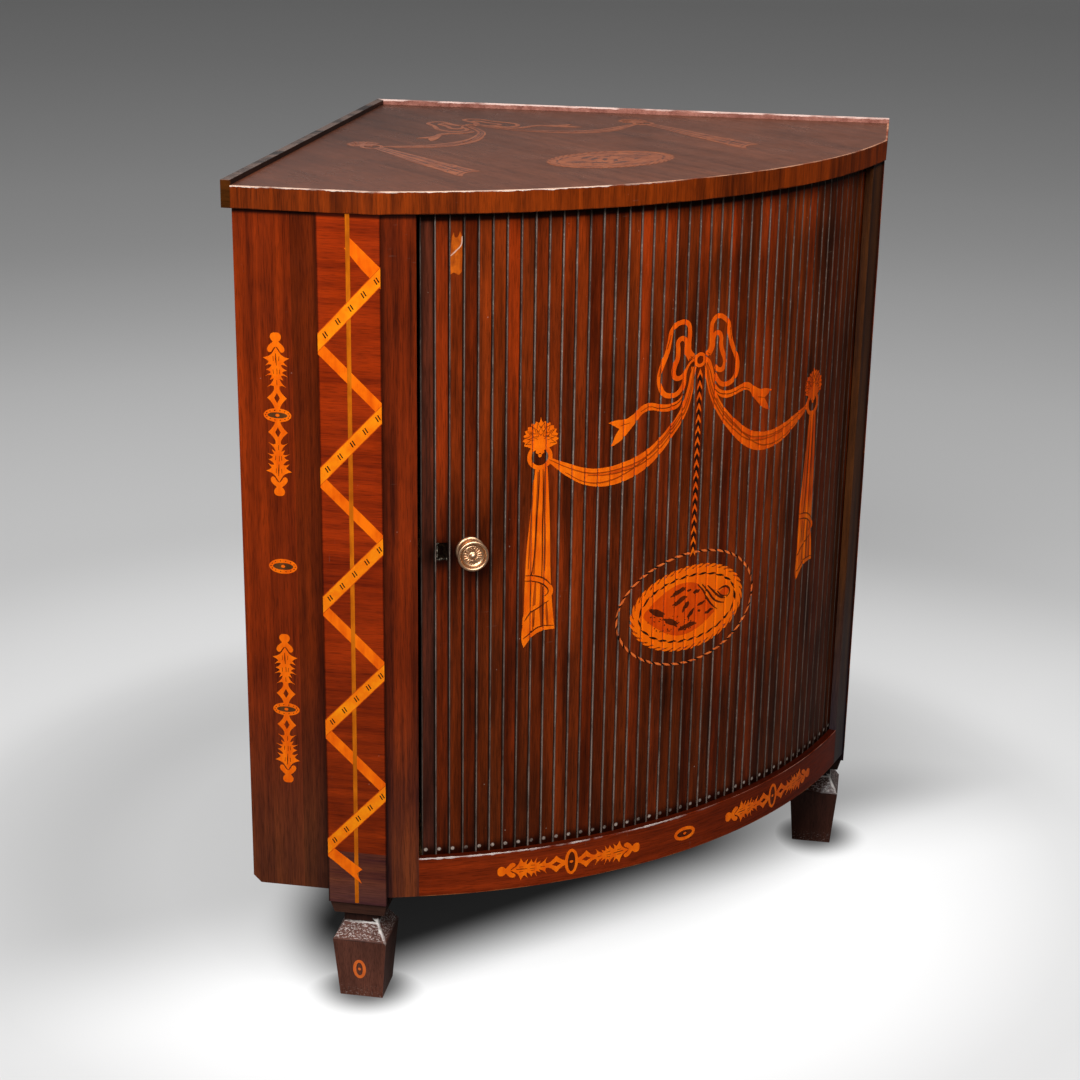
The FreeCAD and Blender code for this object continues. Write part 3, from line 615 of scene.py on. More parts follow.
def slat_finish(name, light, dark):
    # painted shade: darker towards the bottom and the right, nearly black just under the top
    tree, shader = timber(name, light, dark, streak=2.6, scuff=0.7, coat=0.03, shine=0.08, tints=[
        ("Height", 620.0, 200.0, (0.62, 0.72, 0.9, 1)), ("Arc", 60.0, 270.0, (0.56, 0.74, 0.95, 1)),
        ("Height", 819.0, 822.0, grey(0.1))])
    bow = use_group(tree, "bow_place")
    across, height, arc = bow["Across"], bow["Height"], bow["Arc"]
    chance = node(tree, "TexWhiteNoise", {"W": plus(bow["Slat"], 0.5)}, noise_dimensions="1D").outputs
    draws = node(tree, "SeparateColor", {0: chance["Color"]}).outputs
    own = {"X": times(across, MM), "Y": times(bow["Slat"], 0.37), "Z": times(height, MM)}
    stain = cloud(stretch(node(tree, "CombineXYZ", own).outputs[0], 70.0, 70.0, 6.0), 1.0, 5.0, 0.65)
    by_knob = apart(arc, KNOB_ARC, height, KNOB_HEIGHT)
    by_knob = plus(by_knob, times(minus(stain, 0.5), 60.0))
    by_lock = apart(arc, LOCK_ARC, height, KNOB_HEIGHT - 3.0)
    tone = times(scaled(chance["Value"], 0.36, 0.84), step(stain, 0.34, 0.62, 0.6, 1.16),
                 step(by_knob, 8.0, 80.0, 0.5, 1.0), step(by_lock, 5.0, 24.0, 0.08, 1.0),
                 step(height, 170.0, 181.0, 0.2, 1.0))
    colour = tint(paint_of(shader), tone)
    # painted light: paler under the top towards the right, to lift the shadow there
    upper = times(step(height, 755.0, 812.0), step(arc, -200.0, 60.0))
    colour = tint(colour, (2.0, 1.9, 1.8, 1), upper)
    colour = tint(colour, blend(draws[1], (1.07, 0.9, 0.84, 1), (0.95, 1.04, 1.08, 1)))
    # dirt and painted shade: both arrises darkened towards the gaps between slats
    gap_dirt_and_shade = times(step(size(across), 4.9, 6.0), 0.85)
    colour = blend(gap_dirt_and_shade, colour, rgb(24, 13, 8))
    place = object_place(tree)
    # the pale line on each left arris is dust with a painted highlight, and its specks painted glints; it
    # fades lower down and to the right. The heaps are dust at the feet of the gaps.
    broken = cloud(stretch(place, 60.0, 60.0, 18.0), 1.0, 6.0, 0.75)
    speck_noise = cloud(stretch(place, 420.0, 420.0, 300.0))
    much = times(scaled(draws[2], 0.5, 0.5), step(broken, 0.36, 0.6, 0.3, 1.0),
                 step(arc, -120.0, 230.0, 1.0, 0.5))
    colour = blend(times(step(across, -5.4, -6.1), much), colour, rgb(138, 120, 110))
    dust_and_glints = times(step(across, -5.8, -6.2), step(speck_noise, 0.54, 0.7), much,
                  step(height, 360.0, 640.0, 0.4, 0.85))
    heap = times(step(apart(across, -3.0, height, 172.4), 2.4, 1.2), step(speck_noise, 0.3, 0.54, 0.2, 1.0),
                 scaled(draws[0], 0.7, 0.3))
    colour = blend(most(dust_and_glints, heap), colour, rgb(180, 164, 152))
    wire(shader.inputs, {"Base Color": colour, "Coat Weight": scaled(gap_dirt_and_shade, 0.08, 0.03)})


slat_finish("tambour_mahogany", rgb(138, 49, 10), rgb(70, 25, 7))
slat_finish("lead_slat_mahogany", rgb(100, 46, 28), rgb(44, 23, 16))
print("finishes:", len(finishes))

# %% [markdown]
# ## Canvas and brass
# Canvas is two sets of threads that cross, so two waves at right angles make its weave. Brass is bright
# where hands rub it and brown where they do not, so one slow noise mixes both and roughens the brown.
# Threads could be modelled too, but here they are finer than the eye sees.

# %% Canvas and brass
def brass(name, bright, dull, patina):
    tree, shader = new_material(name)
    place = object_place(tree)
    old = step(cloud(place, 420.0, 4.0, 0.65), 0.62 - patina, 0.86 - patina)
    wire(shader.inputs, {"Base Color": blend(old, bright, dull), "Roughness": scaled(old, 0.2, 0.36),
                         "Metallic": 1.0, "Normal": relief(cloud(place, 2600.0, 2.0), 0.15, 0.0002)})
    return tree, shader


brass("brass", rgb(234, 190, 150), rgb(156, 108, 80), 0.14)
tree, shader = brass("dark_brass", rgb(64, 46, 34), rgb(22, 15, 11), 0.3)
bow = use_group(tree, "bow_place")
# pale rim of the lock plate at its left, bottom and top-left: wear and painted glints
rim = most(step(bow["Across"], -3.9, -4.4), step(bow["Height"], 489.2, 488.4),
           times(step(bow["Height"], 503.4, 504.2), step(bow["Across"], -2.6, -3.4)))
rim = times(rim, step(cloud(object_place(tree), 380.0), 0.38, 0.6))
plug(shader.inputs["Base Color"], blend(rim, paint_of(shader), rgb(232, 218, 196)))

tree, shader = new_material("linen_canvas")
way = use_group(tree, "bow_place")["Grain along"]
wires = {"Vector": way, "Scale": 320.0, "Distortion": 1.2, "Detail": 2.0}
threads = [node(tree, "TexWave", wires, bands_direction=axis).outputs["Fac"] for axis in ("X", "Z")]
weave = times(*threads)
cloth = blend(cloud(way, 14.0, 4.0), rgb(150, 128, 96), rgb(104, 84, 58))
wire(shader.inputs, {"Base Color": tint(cloth, step(weave, 0.0, 0.8, 0.6, 1.0)),
                     "Roughness": step(weave, 0.0, 1.0, 0.95, 0.8), "Normal": relief(weave, 0.4, 0.0005)})
print("finishes:", len(finishes))

# %% [markdown]
# ## Dressing the CAD nodes
# The boards, slats and feet have their true shape already, so they only get their finish. The list goes
# from the particular to the general, and the first word that a node's name contains decides.

# %% Finishes on the nodes
FINISH_OF = (
    ("top_edge_band", "edge_crossband"), ("top_board", "top_mahogany"), ("gallery_left", "shaded_gallery"),
    ("gallery_right", "lit_gallery"),
    ("left_back_board", "left_oak"), ("right_back_board", "right_oak"), ("batten", "inner_oak"),
    ("bearer", "inner_oak"), ("guard", "inner_oak"), ("shelf", "shelf_oak"), ("base_board", "shelf_oak"),
    ("wing", "wing_mahogany"),
    ("pilaster", "pilaster_mahogany"), ("stile", "stile_mahogany"), ("rail", "rail_mahogany"),
    ("foot", "foot_mahogany"), ("plinth", "plinth_mahogany"), ("leg_block", "stile_mahogany"),
    ("canvas", "linen_canvas"), ("lead_slat", "lead_slat_mahogany"), ("slat", "tambour_mahogany"),
    ("lock_plate", "dark_brass"), ("knob", "brass"),
)
for name, piece in nodes.items():
    finish = finishes[next(finish for word, finish in FINISH_OF if word in name)]
    if not piece.material_slots:
        piece.data.materials.append(finish)
    for slot in piece.material_slots:
        slot.material = finish
print("dressed", len(nodes), "nodes")

# %% [markdown]
# ## Inlaid veneers
# Satinwood was stained and scorched in hot sand, so each piece glows orange and is brown in places. The
# ribbon that winds round the pilaster has two sides, and its face is paler. Lines that the inlayer cut
# with a pen knife were filled with black. All of them share one recipe with two colours, since only the
# dye and the wear differ.

# %% Veneer finishes
veneers = {}


def veneer(key, light, dark, grain=(140.0, 140.0, 22.0), redder_and_shaded=False):
    """With the flag set, a veneer is redder in the upper middle of the front, and painted darker towards its
    far end, as shade.
    """
    tree, shader = new_material(key + "_veneer")
    place = object_place(tree)
    fibre = cloud(stretch(place, *grain), 1.0, 4.0, 0.6)
    share = plus(times(fibre, 0.9), times(cloud(place, 46.0), 0.9))
    colour = blend(step(share, 0.6, 1.2), rgb(*light), rgb(*dark))
    if redder_and_shaded:
        bow = use_group(tree, "bow_place")
        upper = times(step(bow["Height"], 450.0, 500.0), step(bow["Arc"], -130.0, -10.0))
        colour = tint(colour, (0.9, 0.68, 1, 1), upper)
        # painted shade: darker towards the far right
        colour = tint(colour, (0.72, 0.66, 0.8, 1), step(bow["Arc"], 60.0, 240.0))
    wire(shader.inputs, {"Base Color": colour, "Roughness": scaled(fibre, 0.2, 0.22),
                         "Specular IOR Level": 0.12, "Coat Weight": 0.06, "Coat Roughness": COAT_ROUGH,
                         "Normal": relief(fibre, 0.08, 0.0003)})
    veneers[key] = finishes[key + "_veneer"]


veneer("satin", (255, 120, 8), (228, 88, 4), redder_and_shaded=True)
veneer("golden", (255, 116, 2), (250, 100, 2))
veneer("ground", (232, 80, 2), (206, 64, 2))
veneer("pale", (255, 148, 14), (242, 114, 8), (90.0, 90.0, 90.0))
veneer("shaded", (232, 94, 10), (190, 64, 8), redder_and_shaded=True)
veneer("staff", (214, 112, 10), (168, 82, 6))
veneer("rubbed", (242, 120, 52), (214, 96, 38))
veneer("scorched", (176, 70, 6), (136, 48, 4))
veneer("pen", (100, 36, 6), (62, 20, 4))
veneer("faded", (142, 76, 41), (114, 58, 33))
veneer("worn_pen", (92, 52, 40), (68, 38, 30))
veneer("repair", (204, 96, 18), (128, 48, 10), (160.0, 160.0, 60.0))
veneer("umber", (108, 64, 30), (68, 40, 20))
veneer("dark", (44, 18, 8), (22, 10, 5))
veneer("bone", (226, 190, 168), (190, 146, 124))
print("veneers:", sorted(veneers))

# %% [markdown]
# ## Drawing flat
# Every inlay starts as a curve on the drawing board. An outline is a flat filled curve. A ribbon is a line
# that is extruded, tilted flat, and widened point by point through its radius. Both become meshes, and
# `lift` is how far the sheet lies above the ground, a few hundredths of a millimetre, so that crossing
# pieces keep their order. A point of three numbers is a sharp corner. Inlay could also be painted in a
# material. As thin sheets its edges stay crisp, and each piece can go with its own slat.

# %% Editing tools
def alone(piece):
    bpy.ops.object.select_all(action="DESELECT")
    piece.select_set(True)
    bpy.context.view_layer.objects.active = piece


def edit(piece):
    """Opens a piece for editing with all of it selected."""
    alone(piece)
    bpy.ops.object.mode_set(mode="EDIT")
    bpy.ops.mesh.select_all(action="SELECT")


def done():
    bpy.ops.object.mode_set(mode="OBJECT")


print("editing tools ready")

# %% Drawing tools
def sheet_from(curve, lift, finish):
    board = bpy.data.objects.new(curve.name, curve)
    bpy.context.scene.collection.objects.link(board)
    alone(board)
    bpy.ops.object.convert(target="MESH")
    bpy.ops.object.shade_flat()
    board = bpy.context.active_object
    if board.data.polygons[0].normal.z < 0:
        board.data.flip_normals()
    for vertex in board.data.vertices:
        vertex.co.z = lift
    board.data.materials.clear()
    board.data.materials.append(veneers[finish])
    return board


def new_spline(curve, points, closed):
    spline = curve.splines.new("BEZIER")
    spline.bezier_points.add(len(points) - 1)
    spline.use_cyclic_u = closed
    for point, knot in zip(points, spline.bezier_points):
        knot.co = (point[0], point[1], 0.0)
        knot.handle_left_type = knot.handle_right_type = "VECTOR" if len(point) == 3 else "AUTO"
    return spline.bezier_points


def outline(name, loops, lift, finish, fine=6):
    curve = bpy.data.curves.new(name, "CURVE")
    curve.dimensions, curve.fill_mode, curve.resolution_u = "2D", "BOTH", fine
    for loop in loops:
        new_spline(curve, loop, True)
    return sheet_from(curve, lift, finish)


def ribbon(name, line, widths, lift, finish, fine=8):
    curve = bpy.data.curves.new(name, "CURVE")
    curve.dimensions, curve.twist_mode, curve.extrude, curve.resolution_u = "3D", "Z_UP", 0.5, fine
    knots = new_spline(curve, line, False)
    for number, knot in enumerate(knots):
        knot.tilt = math.pi / 2
        run = number / (len(knots) - 1) * (len(widths) - 1)
        low = min(int(run), len(widths) - 2) if len(widths) > 1 else 0
        knot.radius = widths[low] + (widths[min(low + 1, len(widths) - 1)] - widths[low]) * (run - low)
    return sheet_from(curve, lift, finish)


def oval(centre, wide, high, count=12, turn=0.0):
    """Points of an ellipse with these half sizes."""
    points = []
    for number in range(count):
        angle = 2 * math.pi * number / count
        x, y = wide * math.cos(angle), high * math.sin(angle)
        points.append((centre[0] + x * math.cos(turn) - y * math.sin(turn),
                       centre[1] + x * math.sin(turn) + y * math.cos(turn)))
    return points


def join(name, sheets):
    alone(sheets[0])
    for sheet in sheets[1:]:
        sheet.select_set(True)
    bpy.ops.object.join()
    sheets[0].name = name
    return sheets[0]


print("drawing tools ready")

# %% [markdown]
# ## The bow of ribbon
# A ribbon is tied in a bow on a ring. Two loops stand up on either side, two forked tails fly out, and the
# whole hangs above the swags. Each loop is one line that changes its width on the way.

# %% Bow of ribbon
LOOPS = {
    "left_outer": [(-3, 670), (-9, 676), (-10.2, 684), (-9.8, 697), (-11.6, 704), (-16, 707), (-22, 707),
                   (-28, 704.5), (-32.5, 699), (-34.4, 690), (-36.5, 680), (-40.6, 670), (-44, 662),
                   (-45.6, 654), (-44, 644), (-39, 636.5), (-31, 633.8), (-24, 634.6), (-18, 640),
                   (-14, 648)],
    "left_inner": [(-8, 668), (-13, 677), (-13.2, 685), (-16.4, 690), (-20.6, 690.6), (-23.8, 687.5),
                   (-23.6, 680), (-24, 671), (-27, 664), (-28.4, 657.5), (-26.3, 652), (-21.3, 650.4),
                   (-15, 653.6)],
    "right_outer": [(13, 670), (17.8, 676), (18.6, 686), (18.2, 697), (19.6, 703), (23.4, 707),
                    (29, 707.8), (35, 705), (40.6, 700), (42.6, 692), (44.6, 683.5), (48.4, 673.6),
                    (53.2, 665), (56.2, 657), (56.3, 648.8), (53, 641.2), (47.5, 637), (40, 635.6),
                    (33.8, 637.5), (28.8, 642.5), (25, 649)],
    "right_inner": [(16, 670), (20.4, 677.5), (20.8, 685), (23.4, 690), (28.1, 690.6), (31.4, 686.3),
                    (31.9, 677.5), (34.4, 670), (37.4, 664), (38.1, 657.5), (35, 652.4), (30, 652.4),
                    (25, 657)],
}
LEFT_TAIL = [(-1, 668), (-7, 664), (-11.6, 656), (-13, 643), (-18, 631), (-28, 626), (-42, 626.5),
             (-55, 629.5), (-64, 628), (-74, 620.6), (-83, 616.4), (-93, 616.4), (-102, 614.4, 0),
             (-94, 609.6), (-90, 607.2, 0), (-94.6, 600), (-98.4, 589.6, 0), (-88, 595), (-79, 603.6),
             (-71, 612), (-63, 620), (-54, 622), (-42, 619), (-28, 618.6), (-20, 622), (-16, 634),
             (-17, 648), (-10, 664)]
RIGHT_TAIL = [(9, 668), (16, 666), (22, 655), (25, 643), (30, 634), (40, 629), (52, 629), (64, 632),
              (73, 632.5), (83, 627), (93, 622), (103, 621), (113, 618, 0), (105, 613.6),
              (100.6, 611.4, 0), (106, 604), (111, 596.4, 0), (100, 600.6), (91.6, 607), (84, 614),
              (74, 624), (64, 624.4), (52, 621.6), (40, 621.4), (31, 626), (25, 634), (19, 648),
              (14, 660)]
knot = [ribbon(name, line, [5.2, 5.0, 5.0, 5.4, 5.4, 4.4], 0.10 + 0.01 * number, "satin")
        for number, (name, line) in enumerate(LOOPS.items())]
knot.append(outline("left_tail", [LEFT_TAIL], 0.15, "satin"))
knot.append(outline("right_tail", [RIGHT_TAIL], 0.16, "satin"))
knot.append(outline("knot_ring", [oval((4.8, 666), 7.6, 7.6), oval((4.8, 666), 4.2, 4.2)], 0.20, "satin"))
PEN = [
    [(-4, 662), (-9, 650), (-12, 638), (-19, 627), (-30, 622.6), (-44, 622.6), (-56, 625.6), (-66, 622)],
    [(-10, 668), (-4, 671)], [(14, 672), (18, 670)], [(-2.6, 668), (-8, 671.4)],
    [(14, 662), (19, 652), (23, 640), (29, 630), (40, 625.4), (54, 625.4), (66, 628.2), (76, 625)],
    [(-33, 696), (-37, 682)], [(-44, 664), (-46, 655)], [(43.6, 694), (46, 682)], [(-78, 612), (-89, 610)],
    [(90, 614), (100, 611.6)],
]
knot += [ribbon("bow_pen_line", line, [0.5, 1.0, 0.5], 0.21, "pen", 5) for line in PEN]
print("bow of ribbon:", len(knot), "sheets")

# %% [markdown]
# ## Swags, rosettes and falls of drapery
# Cloth hangs in a swag from the bow to a ring on each side, and falls straight down from the ring. Above
# each ring is a rosette of flame-like leaves. One set is drawn at the left and the same set is used at the
# right.

# %% Swags
LEFT_SWAG = [(-3, 660), (-7, 636), (-16, 613), (-31, 595), (-46, 580.5), (-63, 569.5), (-83, 562.5),
             (-103, 559.5), (-124, 562), (-146, 572), (-165, 583.5)]
RIGHT_SWAG = [(14, 661), (19, 640), (27, 622), (39, 605), (55, 589), (77, 572.5), (92, 566.5), (108, 564),
              (135, 567.5), (157, 576), (182, 586.5)]
SWAG_WIDTHS = [6.5, 8.0, 9.2, 11.0, 14.0, 17.4, 19.6, 19.6, 17.2, 12.0, 4.5]


def beside(line, shares, widths):
    """The line that keeps to one side of another by a share of its half width."""
    moved = []
    for number, (x, y) in enumerate(line):
        before, after = line[max(number - 1, 0)], line[min(number + 1, len(line) - 1)]
        tangent = Vector((after[0] - before[0], after[1] - before[1])).normalized()
        off = widths[number] / 2 * shares[number]
        moved.append((x - tangent.y * off, y + tangent.x * off))
    return moved


FOLDS = (
    ([0.0, 0.1, 0.15, 0.1, 0.15, 0.3, 0.45, 0.5, 0.45, 0.3, 0.1], 0, 11),
    ([0.0, 0.3, 0.4, 0.46, 0.4, 0.1, -0.25, -0.5, -0.65, -0.6, 0.0], 2, 10),
    ([-0.3, -0.35, -0.4, -0.4, -0.3, -0.15, 0.08, 0.2, 0.15, 0.0, 0.0], 0, 9),
)
swags = []
for name, line, hand, lift in (("left_swag", LEFT_SWAG, -1, 0.11), ("right_swag", RIGHT_SWAG, 1, 0.115)):
    swags.append(ribbon(name, line, SWAG_WIDTHS, lift, "satin"))
    for shares, first, last in FOLDS:
        path = beside(line, [share * hand for share in shares], SWAG_WIDTHS)[first:last]
        swags.append(ribbon(name + "_fold", path, [0.7, 1.5, 1.2, 1.5, 0.7], 0.22, "scorched"))
    shade = beside(line, [0.28 * hand] * len(line), SWAG_WIDTHS)[3:9]
    swags.append(ribbon(name + "_shade", shade, [0.5, 1.8, 2.4, 1.8, 0.5], 0.18, "shaded"))
print("swags:", len(swags), "sheets")

# %% Rosette
HEART = Vector((-173.8, 605.6))


def from_heart(angle, reach):
    turn = math.radians(angle)
    return (HEART.x + reach * math.cos(turn), HEART.y + reach * math.sin(turn))


LEAVES = 15
LEAF_TURN = 236.0 / LEAVES
ROSETTE = [(-168.4, 594.4), (-174.2, 592.6), (-180.0, 594.4)]
for number in range(LEAVES):
    middle = 208.0 - LEAF_TURN * (number + 0.5)
    tip = 21.8 if number == LEAVES // 2 else 18.0 + 0.5 * (number % 2)
    ROSETTE += [from_heart(middle + LEAF_TURN / 2, 15.8) + (0,), from_heart(middle + 4.4, 17.0),
                from_heart(middle + 0.6, tip) + (0,), from_heart(middle - 4.4, 17.0)]
ROSETTE.append(from_heart(208.0 - 236.0, 15.8) + (0,))
LEAF_RINGS = ((16.2, 11.0, 9.0, range(-18, 199, 24)), (12.6, 7.4, 13.0, range(0, 181, 30)),
              (8.6, 3.4, 22.0, range(15, 166, 50)))
LEAF_LINES = []
for reach, root, lean, angles in LEAF_RINGS:
    for angle in angles:
        LEAF_LINES.append([from_heart(angle + lean, root) + (0,), from_heart(angle, reach) + (0,),
                           from_heart(angle - lean, root) + (0,)])
print("rosette:", len(ROSETTE), "points and", len(LEAF_LINES), "leaf lines")

# %% Ring and fall
FALL = [(-179, 576, 0), (-180.6, 556), (-183.6, 524), (-186.4, 497), (-188, 462), (-189.2, 420),
        (-190.8, 396), (-188.6, 388.4, 0), (-184, 394.6), (-178, 401), (-170, 404.6), (-156.2, 405.6, 0),
        (-159.4, 436), (-161.2, 462), (-162.8, 512), (-165, 556), (-166.4, 576.4, 0)]
FOLD_BAND = [(-188, 462.6), (-178.6, 461.4), (-170, 458.6), (-163.4, 452.6), (-160.8, 446.6),
             (-164.4, 439.6), (-171.6, 434), (-181.4, 428), (-187.2, 422.6), (-189, 413)]
FALL_SHADES = (
    ([(-176, 572), (-176.8, 536), (-177.6, 500), (-179, 466)], [1.2, 2.2, 2.2, 1.4], 0.15),
    ([(-169.4, 572), (-168.8, 536), (-167.4, 500), (-167.4, 468)], [1.0, 1.8, 1.8, 1.2], 0.15),
    ([(-180.4, 564), (-182, 530), (-183.6, 500), (-184.8, 472)], [0.8, 1.6, 1.6, 1.0], 0.15),
    ([(-171, 455), (-170.6, 430), (-169.6, 409)], [2.0, 4.0, 3.2], 0.18),
    ([(-177, 458), (-178, 440), (-179, 410)], [1.6, 3.2, 2.4], 0.16),
    ([(-165.4, 436), (-164.6, 422), (-163.6, 409)], [1.4, 2.8, 2.0], 0.16),
)
FALL_LINES = (
    [(-174.6, 574), (-175.2, 552), (-177, 520), (-178.4, 490), (-181, 464)],
    [(-171, 574), (-170.4, 548), (-170.6, 510), (-170.4, 486), (-170.6, 461)],
    [(-181.4, 456), (-181.8, 444), (-182.2, 431)], [(-169.6, 452), (-169.2, 430), (-169.4, 410)],
    [(-188, 465.2), (-177, 464), (-167.6, 460), (-160.6, 453)],
    [(-188, 459.6), (-179, 458.4), (-171, 455.4), (-165.2, 450.6), (-163.6, 446.4), (-167, 441.4)],
    [(-163, 436.4), (-172.6, 430.6), (-182.6, 424.6), (-188, 417)],
    [(-189.4, 398), (-183, 402.6), (-176, 408), (-169.6, 409.8), (-157, 409.4)],
    [(-178, 420), (-179.4, 407)],
)
RING = (-174.4, 587.0)
BUD = (oval((-174.4, 592.4), 4.4, 2.6, 8), oval((-174.4, 588.8), 1.7, 2.2, 8))


def drapery(shift):
    def moved(points):
        return [(point[0] + shift,) + tuple(point[1:]) for point in points]
    ring = (RING[0] + shift, RING[1])
    made = [
        outline("rosette", [moved(ROSETTE)], 0.12, "satin"),
        outline("ring", [oval(ring, 12.9, 12.9), oval(ring, 8.6, 8.6)], 0.17, "satin"),
        outline("ring_bud", [moved(loop) for loop in BUD], 0.19, "satin"),
        outline("fall", [moved(FALL)], 0.13, "satin"),
        ribbon("fall_band", moved(FOLD_BAND), [4.4, 5.0, 5.0, 4.6, 4.0, 3.0], 0.17, "satin"),
    ]
    for line, widths, lift in FALL_SHADES:
        made.append(ribbon("fall_shade", moved(line), widths, lift, "scorched"))
    for line in FALL_LINES:
        made.append(ribbon("fall_pen_line", moved(line), [0.7, 1.4, 1.4, 0.7], 0.22, "pen", 5))
    made += [ribbon("leaf_line", moved(line), [0.5, 1.2, 0.5], 0.22, "pen", 2) for line in LEAF_LINES]
    return made


falls = drapery(0.0) + drapery(367.0)
print("rosettes, rings and falls:", len(falls), "sheets")

# %% [markdown]
# ## The oval shell and its chain
# A chain of small arrow heads hangs from the bow to an oval. The oval is a rope of slanting dashes, then a
# broad band with a saw-toothed edge, a ring of dark dashes, and a shell on a shaded ground. Dashes are
# placed by walking round the ellipse in even steps of its length. An array along a curve would bunch them
# at the narrow ends.

# %% Dashes round an ellipse
PATERA = (4.6, 401.4)


def walk(wide, high, count):
    """Even stations round an ellipse: point, tangent."""
    fine = 2000
    ring = [Vector((wide * math.cos(2 * math.pi * k / fine), high * math.sin(2 * math.pi * k / fine)))
            for k in range(fine + 1)]
    length = [0.0]
    for first, second in zip(ring, ring[1:]):
        length.append(length[-1] + (second - first).length)
    stations, number = [], 0
    for k in range(count):
        while length[number] < length[-1] * k / count:
            number += 1
        following = ring[(number + 1) % fine]
        stations.append((ring[number], (following - ring[number - 1 if number else fine - 1]).normalized()))
    return stations


def dashes(wide, high, count, long, thick, turn, offset=0.0):
    """Pointed dashes, each turned a little out of the ellipse's own direction."""
    loops = []
    for station, tangent in walk(wide, high, count):
        middle = Vector(PATERA) + station + tangent * offset
        lean = Matrix.Rotation(turn, 2) @ tangent
        out = Vector((-lean.y, lean.x))
        ends = [(lean * long / 2, 1), (out * thick / 2 + lean * long * 0.15, 0), (-lean * long / 2, 1),
                (-out * thick / 2 - lean * long * 0.15, 0)]
        loops.append([tuple(middle + end) + ((0,) if sharp else ()) for end, sharp in ends])
    return loops


rope = [outline("rope_dashes", dashes(91.4, 60.6, 42, 11.6, 2.4, -0.2), 0.12, "rubbed", 4),
        outline("rope_gaps", dashes(91.4, 60.6, 42, 6.6, 1.9, -0.45, 5.8), 0.11, "dark", 4)]
print("rope:", len(rope[0].data.polygons), "faces")

# %% Oval shell
BLOBS = (((-11.7, 421.7), 9.4, 2.5, 20), ((-9.0, 411.4), 8.4, 2.5, 26), ((-1.6, 403.6), 6.2, 2.3, 46),
         ((5.8, 394.8), 5.2, 2.0, 48), ((-38.0, 403.7), 9.6, 2.7, -27), ((-20.3, 390.0), 9.4, 2.7, -28),
         ((2.6, 381.8), 9.8, 2.5, 8), ((12.0, 417.6), 4.0, 1.9, 12), ((20.0, 403.0), 4.6, 1.5, 15),
         ((2.6, 421.0), 2.6, 1.3, 0), ((30.8, 391.8), 5.2, 1.5, 20), ((17.0, 395.4), 1.6, 1.3, 0))
SHELL_LINES = (
    [(14.0, 425.0), (22.0, 416.5), (29.0, 405.0), (36.0, 397.0), (43.0, 391.5)],
    [(20.0, 424.0), (29.0, 414.0), (37.0, 404.0), (46.0, 398.6), (53.0, 396.6)],
    [(28.0, 421.0), (38.0, 411.5), (47.0, 403.8), (55.0, 401.0)],
    [(42.0, 411.5), (50.0, 404.6), (58.0, 403.6)],
    [(44.0, 413.0), (51.0, 414.6), (58.0, 412.4), (60.4, 407.0), (56.0, 401.6)],
)
SHELL_GROUND = [(-55, 403), (-48, 411), (-36, 420), (-20, 428), (-4, 430.4), (12, 427), (24, 420),
                (38, 414), (58, 413.6), (60, 405), (52, 396), (38, 389), (26, 381), (10, 374.6),
                (-8, 373), (-26, 379), (-40, 388), (-50, 396)]
SHELL_RIBS = [(16, 426), (28, 420), (40, 414), (58, 413.4), (60, 404), (50, 395), (42, 390), (34, 398),
              (26, 409), (20, 418)]
BLOB_GROWTH, GRIT_COUNT = 1.25, 46
patera = [
    outline("oval_ground", [oval(PATERA, 71.4, 42.4, 16)], 0.11, "golden"),
    outline("edge_dashes", dashes(73.2, 44.2, 40, 14.4, 3.0, 0.30), 0.13, "golden", 4),
    outline("edge_gaps", dashes(73.2, 44.2, 40, 9.0, 0.8, 0.26, 5.4), 0.14, "shaded", 3),
    outline("shell_ground", [SHELL_GROUND], 0.14, "ground"),
    outline("shell_ribs", [SHELL_RIBS], 0.16, "satin"),
    outline("dark_dashes", dashes(64.4, 35.6, 25, 13.4, 2.4, 0.1), 0.17, "dark", 4),
    outline("shell_eye", [oval((52.4, 408.4), 7.6, 4.8, 10, 0.25)], 0.18, "ground"),
]
chance = random.Random(7)
for centre, long, thick, turn in BLOBS:
    heart = Vector(centre)
    loop = oval(centre, long, thick, 14, math.radians(turn))
    arms = [(Vector(point) - heart) * BLOB_GROWTH for point in loop]
    ragged = [tuple(heart + arm * chance.uniform(0.72, 1.12)) for arm in arms]
    patera.append(outline("shell_mark", [ragged], 0.18, "pen", 4))
patera += [ribbon("shell_line", line, [1.2, 2.6, 2.2, 0.8], 0.19, "pen", 5) for line in SHELL_LINES]
speckling = []
while len(speckling) < GRIT_COUNT:
    x, y = chance.uniform(-50, 8), chance.uniform(376, 402)
    on_shell = ((x + 4) / 50) ** 2 + ((y - 402) / 27) ** 2 < 1
    if on_shell and y < 402 - 0.35 * (x + 50) + 6:
        speckling.append(oval((x, y), chance.uniform(0.6, 1.5), chance.uniform(0.4, 0.8), 5, chance.uniform(0, 3)))
patera.append(outline("shell_grit", speckling, 0.17, "pen", 2))
print("oval shell:", len(patera), "sheets")

# %% Chain of arrow heads
CHAIN_X, CHAIN_TOP, CHAIN_STEP, CHAIN_COUNT = 5.4, 657.0, 11.8, 17


def arrow_heads(count, drop, thick, wide, rise):
    loops = []
    left, right = CHAIN_X - wide, CHAIN_X + wide
    for number in range(count):
        top = CHAIN_TOP - drop - number * CHAIN_STEP
        low, lowest = top - rise, top - rise - thick * 0.6
        loops.append([(CHAIN_X, top, 0), (left, low, 0), (left, lowest, 0), (CHAIN_X, top - thick, 0),
                      (right, lowest, 0), (right, low, 0)])
    return loops


